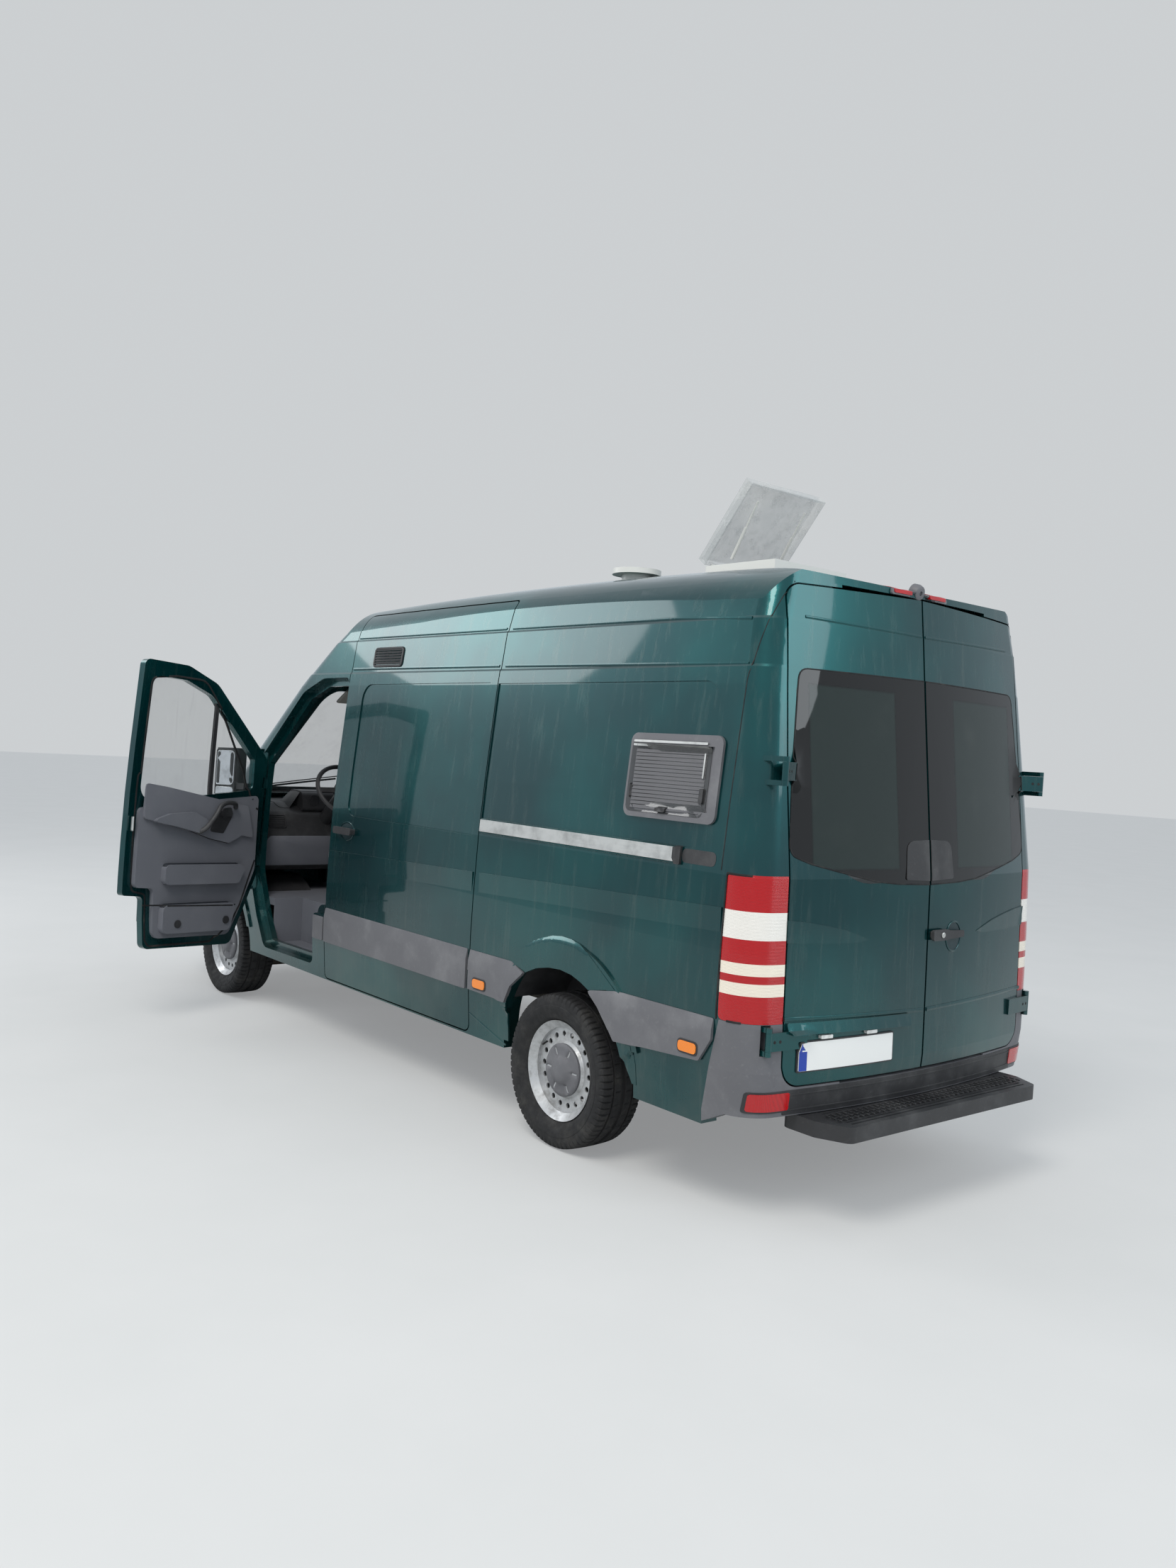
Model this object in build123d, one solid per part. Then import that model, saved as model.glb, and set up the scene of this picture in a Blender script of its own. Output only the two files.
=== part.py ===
import math
import os
from functools import lru_cache
from build123d import *

# Camper van on a high-roof panel van. Lengths in millimetres.
# While it is modelled, x is 0 at the front axle and grows forward, y grows to the left
# side and z is 0 on the ground. SHIFT moves every piece to the stored origin at the end.

# Driving dimensions of the whole van
WHEELBASE = 3665.0
FRONT_OVERHANG = 1004.0
REAR_OVERHANG = 1241.0
BODY_WIDTH = 1970.0
ROOF_TOP = 2668.0
SHIFT = (2028.0, -357.0, 0.0)

# Wheels and axles
FRONT_TRACK = 1710.0
REAR_TRACK = 1716.0
AXLE_HEIGHT = 346.0
TYRE_RADIUS = 346.0
TYRE_WIDTH = 235.0
RIM_RADIUS = 214.0
RIM_WIDTH = 165.0
DISC_OFFSET = 62.0
BOLT_CIRCLE = 130.0
BOLT_HOLE = 15.0
BOLT_COUNT = 6
RIM_SLOTS = 18
RIM_SLOT = 26.0
HUB_RADIUS = 42.0

# Walls, doors and gaps
WALL = 85.0
DOOR_THICKNESS = 45.0
DOOR_GAP = 14.0
SWING_GAP = 5.5
RABBET = 38.0
PANEL = 30.0
GLASS = 5.0
GLASS_SEAT = 12.0
CLEAR = 0.3
SILL_BOTTOM = 360.0
RAIL_Y = 415.0
RAIL_BOTTOM = 470.0
JACK_X = -1400.0
JACK_Z = 455.0
FLOOR_TOP = 655.0
FLOOR_THICKNESS = 45.0
CAB_FLOOR_TOP = 720.0
STEP_TOP = 440.0

# Places along the van
X_FRONT = FRONT_OVERHANG
X_REAR = -WHEELBASE - REAR_OVERHANG
X_FIREWALL = 150.0
X_WING_REAR = -420.0
X_WING_FOOT = -640.0
X_DOOR_REAR = -1455.0
X_SLIDE_FRONT = -1467.0
X_SLIDE_REAR = -2965.0
X_B_PILLAR = -1510.0
X_TAIL = -4660.0

# Rows of the outer form: height, tuck in from the half width, set back of the front,
# slope factor of the front, set forward of the rear, front corner radius, rear corner radius
BODY_ROWS = [
    (240.0, 70.0, 80.0, 1.0, 80.0, 260.0, 190.0),
    (340.0, 25.0, 22.0, 1.0, 22.0, 270.0, 170.0),
    (600.0, 4.0, 0.0, 1.0, 0.0, 280.0, 160.0),
    (850.0, 0.0, 24.0, 1.05, 6.0, 285.0, 150.0),
    (1050.0, 3.0, 128.0, 1.4, 11.0, 290.0, 140.0),
    (1340.0, 14.0, 674.0, 1.9, 18.0, 260.0, 135.0),
    (1610.0, 34.0, 1024.0, 1.53, 49.0, 230.0, 130.0),
    (2080.0, 78.0, 1610.0, 1.6, 103.0, 200.0, 120.0),
    (2148.0, 86.0, 1706.0, 1.7, 110.0, 198.0, 118.0),
    (2158.0, 94.0, 1720.0, 1.7, 111.0, 196.0, 118.0),
    (2338.0, 118.0, 1986.0, 1.7, 131.0, 180.0, 112.0),
    (2348.0, 126.0, 2000.0, 1.7, 133.0, 178.0, 112.0),
    (2505.0, 168.0, 2236.0, 1.7, 151.0, 170.0, 106.0),
    (2760.0, 210.0, 2610.0, 1.7, 180.0, 150.0, 100.0),
]
FRONT_BOW = 2600.0
REAR_BOW = 5200.0

# Roof crown across and along the van
CROWN_SHOULDER = 690.0
CROWN_DROP = 95.0
CROWN_WALL = 838.0
CROWN_WALL_Z = 2440.0
CROWN_BULGE = 23.0
CROWN_LENGTH_RADIUS = 45000.0
CROWN_MID_X = -3200.0

# How the roof falls toward the rear: x and height of an arc's ends and middle, then of a line's end
ROOF_TAIL = [(-4800.0, 2522.0), (-4500.0, 2573.0), (-4100.0, 2608.0), (-3000.0, 2706.0)]

# Wheel arches: centre x, centre z, radius, inner y
ARCH_ROWS = {
    "front": (-8.0, 385.0, 425.0, 480.0),
    "rear": (-WHEELBASE - 60.0, 425.0, 455.0, 640.0),
}
LINER = 6.0
LAMP_DEPTH = 62.0
STAMPING = 6.0
REAR_SPAN = (-5100, -4640)
REAR_DOOR_SPAN = (-5100, -4655)
FLARE_WIDTH = 58.0
FLARE_HEIGHT = 12.0
FRONT_BUMPER_TOP = 716.0
LAMP_EDGE = 814.0

# Steering wheel and seats
STEER_X = -590.0
STEER_Y = 420.0
STEER_Z = 1420.0
STEER_TILT = 38.0
STEER_RADIUS = 195.0
STEER_GRIP = 15.0
SHROUD_START = 62.0
SHROUD_LENGTH = 300.0
SEAT_BASE = 944.0
SEAT_YS = (420.0, -420.0)

SIDES = {"left": 1, "right": -1}


def plan_face(row, inset):
    """One level of the body in plan: bowed ends, straight sides, round corners."""
    z, tuck, set_back, slope, set_forward, corner_front, corner_rear = row
    half = BODY_WIDTH / 2 - tuck - inset
    ends = []
    for x_end, sign, bow, corner in (
        (X_FRONT - set_back - inset * slope, 1, FRONT_BOW, corner_front),
        (X_REAR + set_forward + inset, -1, REAR_BOW, corner_rear),
    ):
        radius = max(corner - inset, 25.0)
        run = math.sqrt((bow - radius) ** 2 - (half - radius) ** 2)
        centre = x_end - sign * (bow - run)
        turn = math.atan2(half - radius, run)
        meet = Vector(x_end - sign * (bow - bow * math.cos(turn)), bow * math.sin(turn))
        mid_turn = (turn + math.pi / 2) / 2
        middle = Vector(
            centre + sign * radius * math.cos(mid_turn),
            half - radius + radius * math.sin(mid_turn),
        )
        ends.append((x_end, meet, middle, Vector(centre, half)))
    front, rear = ends

    def low(point):
        return Vector(point.X, -point.Y)

    with BuildSketch(Plane.XY.offset(z)) as level:
        with BuildLine():
            ThreePointArc(low(front[1]), Vector(front[0], 0), front[1])
            ThreePointArc(front[1], front[2], front[3])
            Line(front[3], rear[3])
            ThreePointArc(rear[3], rear[2], rear[1])
            ThreePointArc(rear[1], Vector(rear[0], 0), low(rear[1]))
            ThreePointArc(low(rear[1]), low(rear[2]), low(rear[3]))
            Line(low(rear[3]), low(front[3]))
            ThreePointArc(low(front[3]), low(front[2]), low(front[1]))
        make_face()
    return level.sketch


def crown(inset):
    """Everything below the roof: a crowned section turned about a far cross axis."""
    top = ROOF_TOP - inset
    shoulder = Vector(CROWN_SHOULDER - inset / 2, top - CROWN_DROP)
    wall = Vector(CROWN_WALL - inset, CROWN_WALL_Z - inset / 2)
    chord = wall - shoulder
    outward = Vector(-chord.Y, chord.X).normalized()
    middle = (wall + shoulder) * 0.5 + outward * CROWN_BULGE

    def other(point):
        return Vector(-point.X, point.Y)

    with BuildSketch(Plane.YZ.offset(CROWN_MID_X)) as section:
        with BuildLine():
            ThreePointArc(other(shoulder), (0, top), shoulder)
            ThreePointArc(shoulder, middle, wall)
            Polyline(wall, (1300, 2300), (1300, 0), (-1300, 0), (-1300, 2300), other(wall))
            ThreePointArc(other(wall), other(middle), other(shoulder))
        make_face()
    axis = Axis((CROWN_MID_X, 0, ROOF_TOP - CROWN_LENGTH_RADIUS), (0, 1, 0))
    start = section.sketch.rotate(axis, -7.5)
    return revolve(start, axis, 15.0) & roof_tail(inset)


def roof_tail(inset):
    """Everything below the roof line where it falls toward the rear."""
    rear, middle, front, end = [(x, z - inset) for x, z in ROOF_TAIL]
    with BuildSketch() as outline:
        with BuildLine():
            ThreePointArc(rear, middle, front)
            Polyline(front, end, (end[0], 3000), (1300, 3000), (1300, 0), (-5300, 0), (-5300, rear[1] - 120), rear)
        make_face()
    return across(outline.sketch, (-1400, 1400))


@lru_cache(maxsize=None)
def form(inset):
    """The outer form of the van, or that form moved inward by an inset."""
    return loft([plan_face(row, inset) for row in BODY_ROWS], ruled=True)


@lru_cache(maxsize=None)
def hull(inset):
    """The closed outer volume under the roof crown, moved inward by an inset."""
    return form(inset) & crown(inset)


@lru_cache(maxsize=None)
def skin(start, depth):
    """The layer of the hull between two depths."""
    return hull(start) - hull(depth)


def block(x_span, y_span, z_span):
    """A box given by its spans."""
    size = [high - low for low, high in (x_span, y_span, z_span)]
    middle = [(high + low) / 2 for low, high in (x_span, y_span, z_span)]
    return Pos(*middle) * Box(*size)


def rounded(points, radius):
    """A closed outline with one corner radius, or a list with one radius a point."""
    with BuildSketch() as sketch:
        with BuildLine():
            Polyline(*points, close=True)
        make_face()
    face = sketch.sketch
    radii = radius if isinstance(radius, (list, tuple)) else [radius] * len(points)
    for point, size in zip(points, radii):
        if size > 0:
            corner = face.vertices().sort_by_distance(Vector(point[0], point[1]))[0]
            face = fillet(corner, size)
    return face


def across(face, y_span):
    """An outline drawn in x and z, pushed through a span of y."""
    low, high = y_span
    return extrude(Plane.XZ.offset(-high) * face, high - low)


def along(face, x_span):
    """An outline drawn in y and z, pushed through a span of x."""
    low, high = x_span
    return extrude(Plane.YZ.offset(low) * face, high - low)


def upward(face, z_span):
    """An outline drawn in x and y, pushed through a span of z."""
    low, high = z_span
    return extrude(Plane.XY.offset(low) * face, high - low)


def side_span(side, near, far):
    """A span of y on one side of the van."""
    return (near, far) if side > 0 else (-far, -near)


def mirrored(shape):
    """The same piece on the other side of the van."""
    return mirror(shape, Plane.XZ)


def disc(x, z, radius, y_span):
    """A round bar or hole across the van."""
    low, high = y_span
    return Pos(x, (low + high) / 2, z) * Rot(90, 0, 0) * Cylinder(radius, high - low)


def bar(radius, z_span):
    """An upright round bar."""
    low, high = z_span
    return Pos(0, 0, (low + high) / 2) * Cylinder(radius, high - low)


def grown(face, amount):
    """An outline moved outward, or inward by a negative amount."""
    return offset(face, amount, kind=Kind.INTERSECTION)


# Door, window and lamp outlines, drawn in x and z on the sides and in y and z at the ends
CAB_DOOR = rounded(
    [
        (X_DOOR_REAR, 748),
        (-1312, 738),
        (-1302, 430),
        (-640, 424),
        (-530, 640),
        (X_WING_REAR, 880),
        (X_WING_REAR, 1600),
        (-905, 2035),
        (-1140, 2118),
        (X_DOOR_REAR, 2122),
    ],
    [20, 30, 40, 60, 120, 160, 90, 160, 120, 35],
)
CAB_WINDOW = rounded(
    [(-1385, 1290), (-520, 1400), (-530, 1590), (-935, 1960), (-1140, 2030), (-1385, 2036)],
    [90, 40, 40, 120, 90, 60],
)
SLIDING_DOOR = rounded(
    [
        (X_SLIDE_REAR, 375),
        (X_SLIDE_FRONT, 372),
        (X_SLIDE_FRONT, 2496),
        (X_SLIDE_REAR, 2502),
    ],
    [40, 30, 20, 20],
)
SLIDING_OPENING = rounded(
    [(X_SLIDE_REAR + 60, 660), (X_SLIDE_FRONT - 60, 660), (X_SLIDE_FRONT - 60, 2400), (X_SLIDE_REAR + 60, 2400)],
    60,
)
REAR_DOOR = rounded(
    [(5, 545), (806, 545), (806, 1700), (782, 2478), (5, 2500)],
    [0, 90, 0, 60, 0],
)
REAR_WINDOW = rounded(
    [(48, 1330), (430, 1318), (765, 1470), (755, 2110), (48, 2150)],
    [30, 260, 90, 60, 20],
)
TAIL_LAMP = rounded([(-4906, 788), (X_TAIL, 790), (-4648, 1350), (-4906, 1352)], [0, 20, 30, 0])
WINDSCREEN = rounded([(-775, 1362), (775, 1362), (690, 2070), (-690, 2070)], [70, 70, 110, 110])
HEADLAMP = rounded([(480, 740), (960, 790), (960, 1075), (700, 1030), (480, 905)], [40, 30, 60, 120, 50])
GRILLE = rounded([(-445, 720), (445, 720), (470, 1010), (-470, 1010)], [40, 40, 60, 60])
BONNET = rounded([(345, -800), (900, -800), (900, 800), (345, 800)], [60, 200, 200, 60])
BUMPER_CORNER = rounded(
    [(-5000, 428), (-4700, 428), (-4585, 372), (-4585, 420), (-4665, 788), (-5000, 788)],
    0,
)
BELOW_CORNER = rounded([(-5000, 300), (-4585, 300), (-4585, 372), (-4700, 428), (-5000, 428)], 0)
QUARTER_RECESS = rounded([(-4500, 1424), (-2975, 1424), (-2975, 2086), (-4500, 2092)], [60, 0, 0, 90])
CAMPER_WINDOW = rounded([(-4560, 1523), (-4020, 1523), (-4020, 1873), (-4560, 1873)], 38)

DOOR_TRIM = rounded(
    [(-1396, 795), (-1262, 787), (-1252, 491), (-672, 487), (-592, 643), (-480, 893), (-480, 1366), (-1396, 1258)],
    [30, 30, 50, 60, 100, 120, 30, 30],
)
DOOR_POCKETS = [
    rounded([(-1215, 520), (-700, 520), (-650, 690), (-1215, 690)], 40),
    rounded([(-1215, 810), (-640, 810), (-590, 930), (-1215, 930)], 35),
]
DOOR_SPAN = (300, 1300)
GLASS_DEPTH = 20.0
TRIM_FACE = 906.0
POCKET_DEPTH = 42.0
POCKET_WALL = 6.0

# Camper fittings on the roof
HATCH_X = -3690.0
HATCH_LENGTH = 450.0
HATCH_WIDTH = 520.0
HATCH_OPENING = 400.0
HATCH_OPEN = 51.0
HATCH_CORNER = 30.0
HATCH_HINGE_Z = 2702.0
HATCH_LUG_Y = 185.0
VENT_X = -3290.0
VENT_Y = 330.0
VENT_RADIUS = 122.0
VENT_NECK = 73.0

# Hinges
CAB_DOOR_OPEN = 71.0
CAB_HINGE_X = X_WING_REAR - 10.0
CAB_HINGE_Y = BODY_WIDTH / 2 - 23.0
CAB_HINGE_Z = 1000.0
CAB_HINGE_LEAN = 2.5
CAB_HINGE_RELIEF = 35.0
CAB_RELIEF_SPAN = (-240.0, 670.0)
CAB_HINGE_STEPS = (-50.0, 450.0)
HINGE_HEIGHT = 70.0
HINGE_RADIUS = 10.0
LUG_HEIGHT = 20.0
PIN_GAP = 0.5
REAR_HINGE_X = -4838.0
REAR_HINGE_Y = 888.0
BONNET_HINGE_X = 350.0
BONNET_HINGE_Y = 300.0
BONNET_HINGE_Z = 1318.0
BONNET_ARM = 20.0
KING_PIN_Y = 790.0
PIN_HEIGHT = 300.0
STRUT_TOP = 808.0

# Rear door hinges: height, rearmost x of the form there, how far the lugs reach into the corner,
# and y where the door's plate starts
REAR_HINGES = [(727.0, -4903.0, -4735.0, 700.0), (1751.0, -4841.0, -4709.0, 772.0)]


def arch(which, side, extra=0.0):
    """The round hole over a wheel, open below."""
    x, z, radius, inner = ARCH_ROWS[which]
    span = side_span(side, inner - extra, 1300)
    hole = disc(x, z, radius + extra, span)
    below = block((x - radius - extra, x + radius + extra), span, (0, z))
    return hole + below


def all_arches(extra):
    return [arch(which, side, extra) for which in ARCH_ROWS for side in SIDES.values()]


@lru_cache(maxsize=None)
def walls():
    """The whole hollow shell of the cabin and load space with every doorway cut."""
    shell = hull(0) - hull(WALL)
    shell = shell & block((-5000, 1100), (-1100, 1100), (SILL_BOTTOM, 2800))
    gap = DOOR_GAP / 2
    swinging = hull(-20) - hull(DOOR_THICKNESS + SWING_GAP)
    sliding = hull(-20) - hull(DOOR_THICKNESS + CLEAR)
    cuts = []
    for side in SIDES.values():
        span = side_span(side, 300, 1300)
        for outline, opening, layer in (
            (CAB_DOOR, grown(CAB_DOOR, -RABBET), swinging),
            (SLIDING_DOOR, SLIDING_OPENING, sliding),
        ):
            cuts.append(across(grown(outline, gap), span) & layer)
            cuts.append(across(opening, span))
    layer = hull(-20) - form(DOOR_THICKNESS + SWING_GAP)
    cuts.append(along(grown(REAR_DOOR, gap), REAR_SPAN) & layer)
    cuts.append(along(mirror(grown(REAR_DOOR, gap), Plane.YZ), REAR_SPAN) & layer)
    opening = Pos(0, (FLOOR_TOP + 2440) / 2) * RectangleRounded(1530, 2440 - FLOOR_TOP, 60)
    cuts.append(along(opening, REAR_SPAN))
    cuts.append(along(Pos(0, 440) * Rectangle(1570, 204), REAR_SPAN))
    cuts.append(along(WINDSCREEN, (-950, 1100)))
    cuts += all_arches(LINER)
    return shell - cuts


def cab_shell():
    """Pillars, sills, scuttle and firewall in front of the B-pillars."""
    cab = walls() & block((X_B_PILLAR, 1100), (-1100, 1100), (SILL_BOTTOM, 2153))
    cab -= block((X_FIREWALL, 1100), (-1100, 1100), (200, 1340))
    wing_layer = hull(-20) - hull(PANEL + CLEAR)
    cab -= wing_layer & block((X_WING_FOOT, 1100), (-1100, 1100), (200, 1340))
    firewall = hull(WALL - 5) & block((X_FIREWALL - 30, X_FIREWALL), (-1100, 1100), (700, 1345))
    cab = cab + (firewall - all_arches(LINER))
    cab -= [cab_hinge_relief(), mirrored(cab_hinge_relief())]
    arms = cab_hinge_arms() + bonnet_hinge_arm()
    return cab + arms + mirrored(arms)


def cab_hinge_plane():
    """The left cab door's hinge line, with z along its pins."""
    lean = math.radians(CAB_HINGE_LEAN)
    return Plane(
        origin=(CAB_HINGE_X, CAB_HINGE_Y, CAB_HINGE_Z),
        x_dir=(1, 0, 0),
        z_dir=(0, -math.sin(lean), math.cos(lean)),
    )


def cab_hinge_relief():
    """Room for the front edge of the door as it swings inside the wing."""
    low, high = CAB_RELIEF_SPAN
    return cab_hinge_plane() * Pos(0, 0, low) * extrude(RegularPolygon(CAB_HINGE_RELIEF, 10), high - low)


def cab_hinge_arms():
    """Two barrels on the hinge line, each on an arm from the pillar."""
    arms = Part()
    for step in CAB_HINGE_STEPS:
        arm = Cylinder(HINGE_RADIUS, HINGE_HEIGHT) + Pos(4, -24, 0) * Box(14, 48, HINGE_HEIGHT)
        arms = arms + cab_hinge_plane() * Pos(0, 0, step) * arm
    return arms


def bonnet_hinge_arm():
    """An arm from the firewall that ends in a barrel under the bonnet's rear edge."""
    span = (BONNET_HINGE_Y - BONNET_ARM / 2, BONNET_HINGE_Y + BONNET_ARM / 2)
    arm = block((X_FIREWALL - 1, BONNET_HINGE_X), span, (BONNET_HINGE_Z - 7, BONNET_HINGE_Z + 7))
    return arm + disc(BONNET_HINGE_X, BONNET_HINGE_Z, 8, span)


def side_panels():
    """Body sides behind the B-pillars, with the rear wheel arch flares."""
    panel = walls() & block((-5000, X_B_PILLAR), (500, 1100), (SILL_BOTTOM, 2505))
    x, z, radius, inner = ARCH_ROWS["rear"]
    ring = disc(x, z, radius + FLARE_WIDTH, (800, 1100))
    ring = ring & block((-5000, -3000), (-1100, 1100), (z + 130, 1100))
    flare = (hull(-FLARE_HEIGHT) & ring) - hull(PANEL)
    corner = across(TAIL_LAMP, (LAMP_EDGE - 1, 1100)) + across(BUMPER_CORNER, (500, 1200))
    panel = (panel + flare) - arch("rear", 1) - (corner - hull(LAMP_DEPTH))
    panel -= across(BELOW_CORNER, (500, 1200))
    panel -= across(QUARTER_RECESS, (600, 1100)) - hull(STAMPING)
    panel = panel + rear_hinge_lugs()
    window = across(grown(CAMPER_WINDOW, -12), (600, 1100))
    return [panel - window, mirrored(panel)]


def rear_hinge_lugs():
    """Pairs of lugs on the rear corner that hold the door hinges."""
    lugs = Part()
    for height, rear, reach, start in REAR_HINGES:
        for step in (-1, 1):
            z = height + step * (HINGE_HEIGHT / 2 + PIN_GAP + LUG_HEIGHT / 2)
            span = (z - LUG_HEIGHT / 2, z + LUG_HEIGHT / 2)
            arm = block((REAR_HINGE_X, reach), (REAR_HINGE_Y - 11, REAR_HINGE_Y + 11), span)
            lugs = lugs + arm + Pos(REAR_HINGE_X, REAR_HINGE_Y, z) * Cylinder(13, LUG_HEIGHT)
    return lugs


def rear_hinge_plates():
    """Slanting arms from the rear door's face to the barrels on its hinge line."""
    plates = Part()
    for height, rear, reach, start in REAR_HINGES:
        span = (height - HINGE_HEIGHT / 2, height + HINGE_HEIGHT / 2)
        root = rear + start**2 / (2 * REAR_BOW)
        seat_x = rear + 800**2 / (2 * REAR_BOW)
        free = rear + LAMP_EDGE**2 / (2 * REAR_BOW) - 8
        face = rounded(
            [
                (REAR_HINGE_X - 12, REAR_HINGE_Y),
                (root - 12, start),
                (root + 6, start),
                (seat_x + 6, 800),
                (free, 803),
                (min(free, REAR_HINGE_X + 8), REAR_HINGE_Y),
            ],
            0,
        )
        barrel = Pos(REAR_HINGE_X, REAR_HINGE_Y, height) * Cylinder(13, HINGE_HEIGHT)
        plates = plates + upward(face, span) + barrel
    return plates


def roof_panel():
    """The high roof over the cab and the load space, with its hatch hole."""
    over_cab = block((X_B_PILLAR, 1100), (-1100, 1100), (2153, 2800))
    over_load = block((-5000, X_B_PILLAR), (-1100, 1100), (2505, 2800))
    hole = Pos(HATCH_X - HATCH_LENGTH / 2, 0) * RectangleRounded(HATCH_OPENING, HATCH_OPENING, HATCH_CORNER)
    return (walls() & (over_cab + over_load)) - upward(hole, (2400, 2800))


def floor_pan():
    """Load floor, cab floor and the two step wells."""
    inside = hull(WALL + CLEAR)
    load = inside & block((-4860, X_B_PILLAR), (-1000, 1000), (FLOOR_TOP - FLOOR_THICKNESS, FLOOR_TOP))
    cab = inside & block(
        (X_B_PILLAR, X_FIREWALL - 30 - CLEAR),
        (-1000, 1000),
        (CAB_FLOOR_TOP - FLOOR_THICKNESS, CAB_FLOOR_TOP),
    )
    riser = block((X_B_PILLAR - 20, X_B_PILLAR), (-880, 880), (FLOOR_TOP - 5, CAB_FLOOR_TOP))
    pan = load + cab + riser
    for side in SIDES.values():
        outer = block((-1300, -610), side_span(side, 690, 895), (STEP_TOP - 15, CAB_FLOOR_TOP - 5))
        hollow = block((-1288, -622), side_span(side, 702, 1000), (STEP_TOP, 800))
        pan = (pan + (outer & inside)) - hollow
    return pan - all_arches(LINER)


def wheel_liners():
    """Arched housings over the four wheels."""
    liners = []
    for which, low in (("front", 610.0), ("rear", 610.0)):
        tub = arch(which, 1, LINER - CLEAR) - arch(which, 1)
        tub = tub & hull(PANEL + 2 * CLEAR) & block((-5000, 1100), (-1100, 1100), (low, 1000))
        liners += [tub, mirrored(tub)]
    return liners


def wings():
    """Front wings from the doors to the bumper."""
    span = side_span(1, 380, 1100)
    wing = skin(0, PANEL) & block((X_WING_FOOT + CLEAR, 1100), span, (SILL_BOTTOM, 1340))
    x, z, radius, inner = ARCH_ROWS["front"]
    ring = disc(x, z, radius + 40, side_span(1, 800, 1100))
    ring = ring & block((-600, 600), (-1100, 1100), (z + 130, 1100))
    wing = wing + ((hull(-FLARE_HEIGHT) - hull(5)) & ring)
    for cutter in (
        arch("front", 1),
        across(grown(CAB_DOOR, DOOR_GAP / 2), span),
        bonnet_region(DOOR_GAP / 2),
        cab_hinge_relief(),
        along(grown(HEADLAMP, CLEAR), (300, 1100)),
        along(grown(GRILLE, CLEAR), (500, 1100)),
        block((380, 1100), (-1100, 1100), (200, FRONT_BUMPER_TOP)),
    ):
        wing -= cutter
    return [wing, mirrored(wing)]


def bonnet_region(extra):
    """Where the bonnet lies in plan, above the grille."""
    return upward(grown(BONNET, extra), (1016 - extra, 1400))


def bonnet():
    """The bonnet, notched at its rear edge for the two hinge barrels."""
    lid = skin(0, PANEL) & bonnet_region(0)
    half = BONNET_ARM / 2 + PIN_GAP
    notch = block((335, 364), (BONNET_HINGE_Y - half, BONNET_HINGE_Y + half), (1270, 1345))
    return lid - notch - mirrored(notch)


def headlamps():
    lamp = (hull(0) & along(HEADLAMP, (300, 1100))) - hull(WALL) - bonnet_region(DOOR_GAP / 2)
    return [lamp, mirrored(lamp)]


def grille():
    frame = (hull(0) & along(GRILLE, (500, 1100))) - hull(DOOR_THICKNESS)
    frame -= bonnet_region(DOOR_GAP / 2)
    for row in range(4):
        z = 760 + row * 58
        frame -= along(Pos(0, z) * RectangleRounded(820, 34, 10), (500, 1100))
    return frame


def front_bumper():
    bumper = skin(0, PANEL) & block((380, 1100), (-1100, 1100), (255, FRONT_BUMPER_TOP - CLEAR))
    bumper -= [arch("front", 1), arch("front", -1)]
    bumper -= along(Pos(0, 420) * RectangleRounded(980, 130, 40), (700, 1100))
    return bumper


def rear_bumper():
    """Bumper corners and the low centre part below the doors."""
    low = hull(0) & block((-5000, -4585), (-785, 785), (428, 531))
    corner = hull(0) & across(BUMPER_CORNER, (500, 1200))
    corner -= along(grown(REAR_DOOR, DOOR_GAP / 2), REAR_SPAN)
    height = REAR_HINGES[0][0]
    corner -= block((-4900, -4730), (REAR_HINGE_Y - 19, REAR_HINGE_Y + 19), (height - 58, height + 60))
    return (low + corner + mirrored(corner)) - hull(LAMP_DEPTH - CLEAR)


def rear_step():
    """A ribbed step across the back, on two arms from the frame rails."""
    tread = rounded([(-5060, -640), (-4930, -700), (-4760, -700), (-4760, 700), (-4930, 700), (-5060, 640)], 40)
    step = upward(tread, (362, 424))
    for y in (-RAIL_Y, RAIL_Y):
        step = step + block((-4800, -4560), (y - 30, y + 30), (366, 418))
        step = step + block((-4620, -4560), (y - 30, y + 30), (366, RAIL_BOTTOM - CLEAR))
    for index in range(9):
        x = -5030 + index * 24
        step -= block((x, x + 10), (-600, 600), (418, 430))
    return step


def cab_door():
    """The left cab door with its window frame, closed."""
    door = hull(0) & across(CAB_DOOR, DOOR_SPAN)
    door = door - across(CAB_WINDOW, DOOR_SPAN) - hull(DOOR_THICKNESS)
    for step in CAB_HINGE_STEPS:
        door -= cab_hinge_plane() * Pos(7, -23, step) * Box(46, 74, HINGE_HEIGHT + 2 * PIN_GAP)
    return door


def cab_door_glass():
    pane = hull(GLASS_DEPTH) & across(grown(CAB_WINDOW, -CLEAR), DOOR_SPAN)
    return pane - hull(GLASS_DEPTH + GLASS)


def cab_door_trim():
    """The moulded inner panel with its pockets."""
    panel = hull(DOOR_THICKNESS + CLEAR) & across(DOOR_TRIM, (TRIM_FACE, 1300))
    for pocket in DOOR_POCKETS:
        panel = panel + across(pocket, (TRIM_FACE - POCKET_DEPTH, TRIM_FACE + 1))
        hollow = grown(pocket, -POCKET_WALL) + Pos(0, 2 * POCKET_WALL) * grown(pocket, -POCKET_WALL)
        panel -= across(hollow, (TRIM_FACE - POCKET_DEPTH + POCKET_WALL, TRIM_FACE + POCKET_WALL))
    return panel


def door_mirror():
    """A tall mirror head on a short arm at the front of the door."""
    arm = block((-560, -500), (940, 1080), (1400, 1440)) - hull(0)
    head = Pos(-520, 1130, 1500) * Box(110, 200, 330)
    head = fillet(head.edges().filter_by(Axis.Z), 40)
    return arm + head


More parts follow.
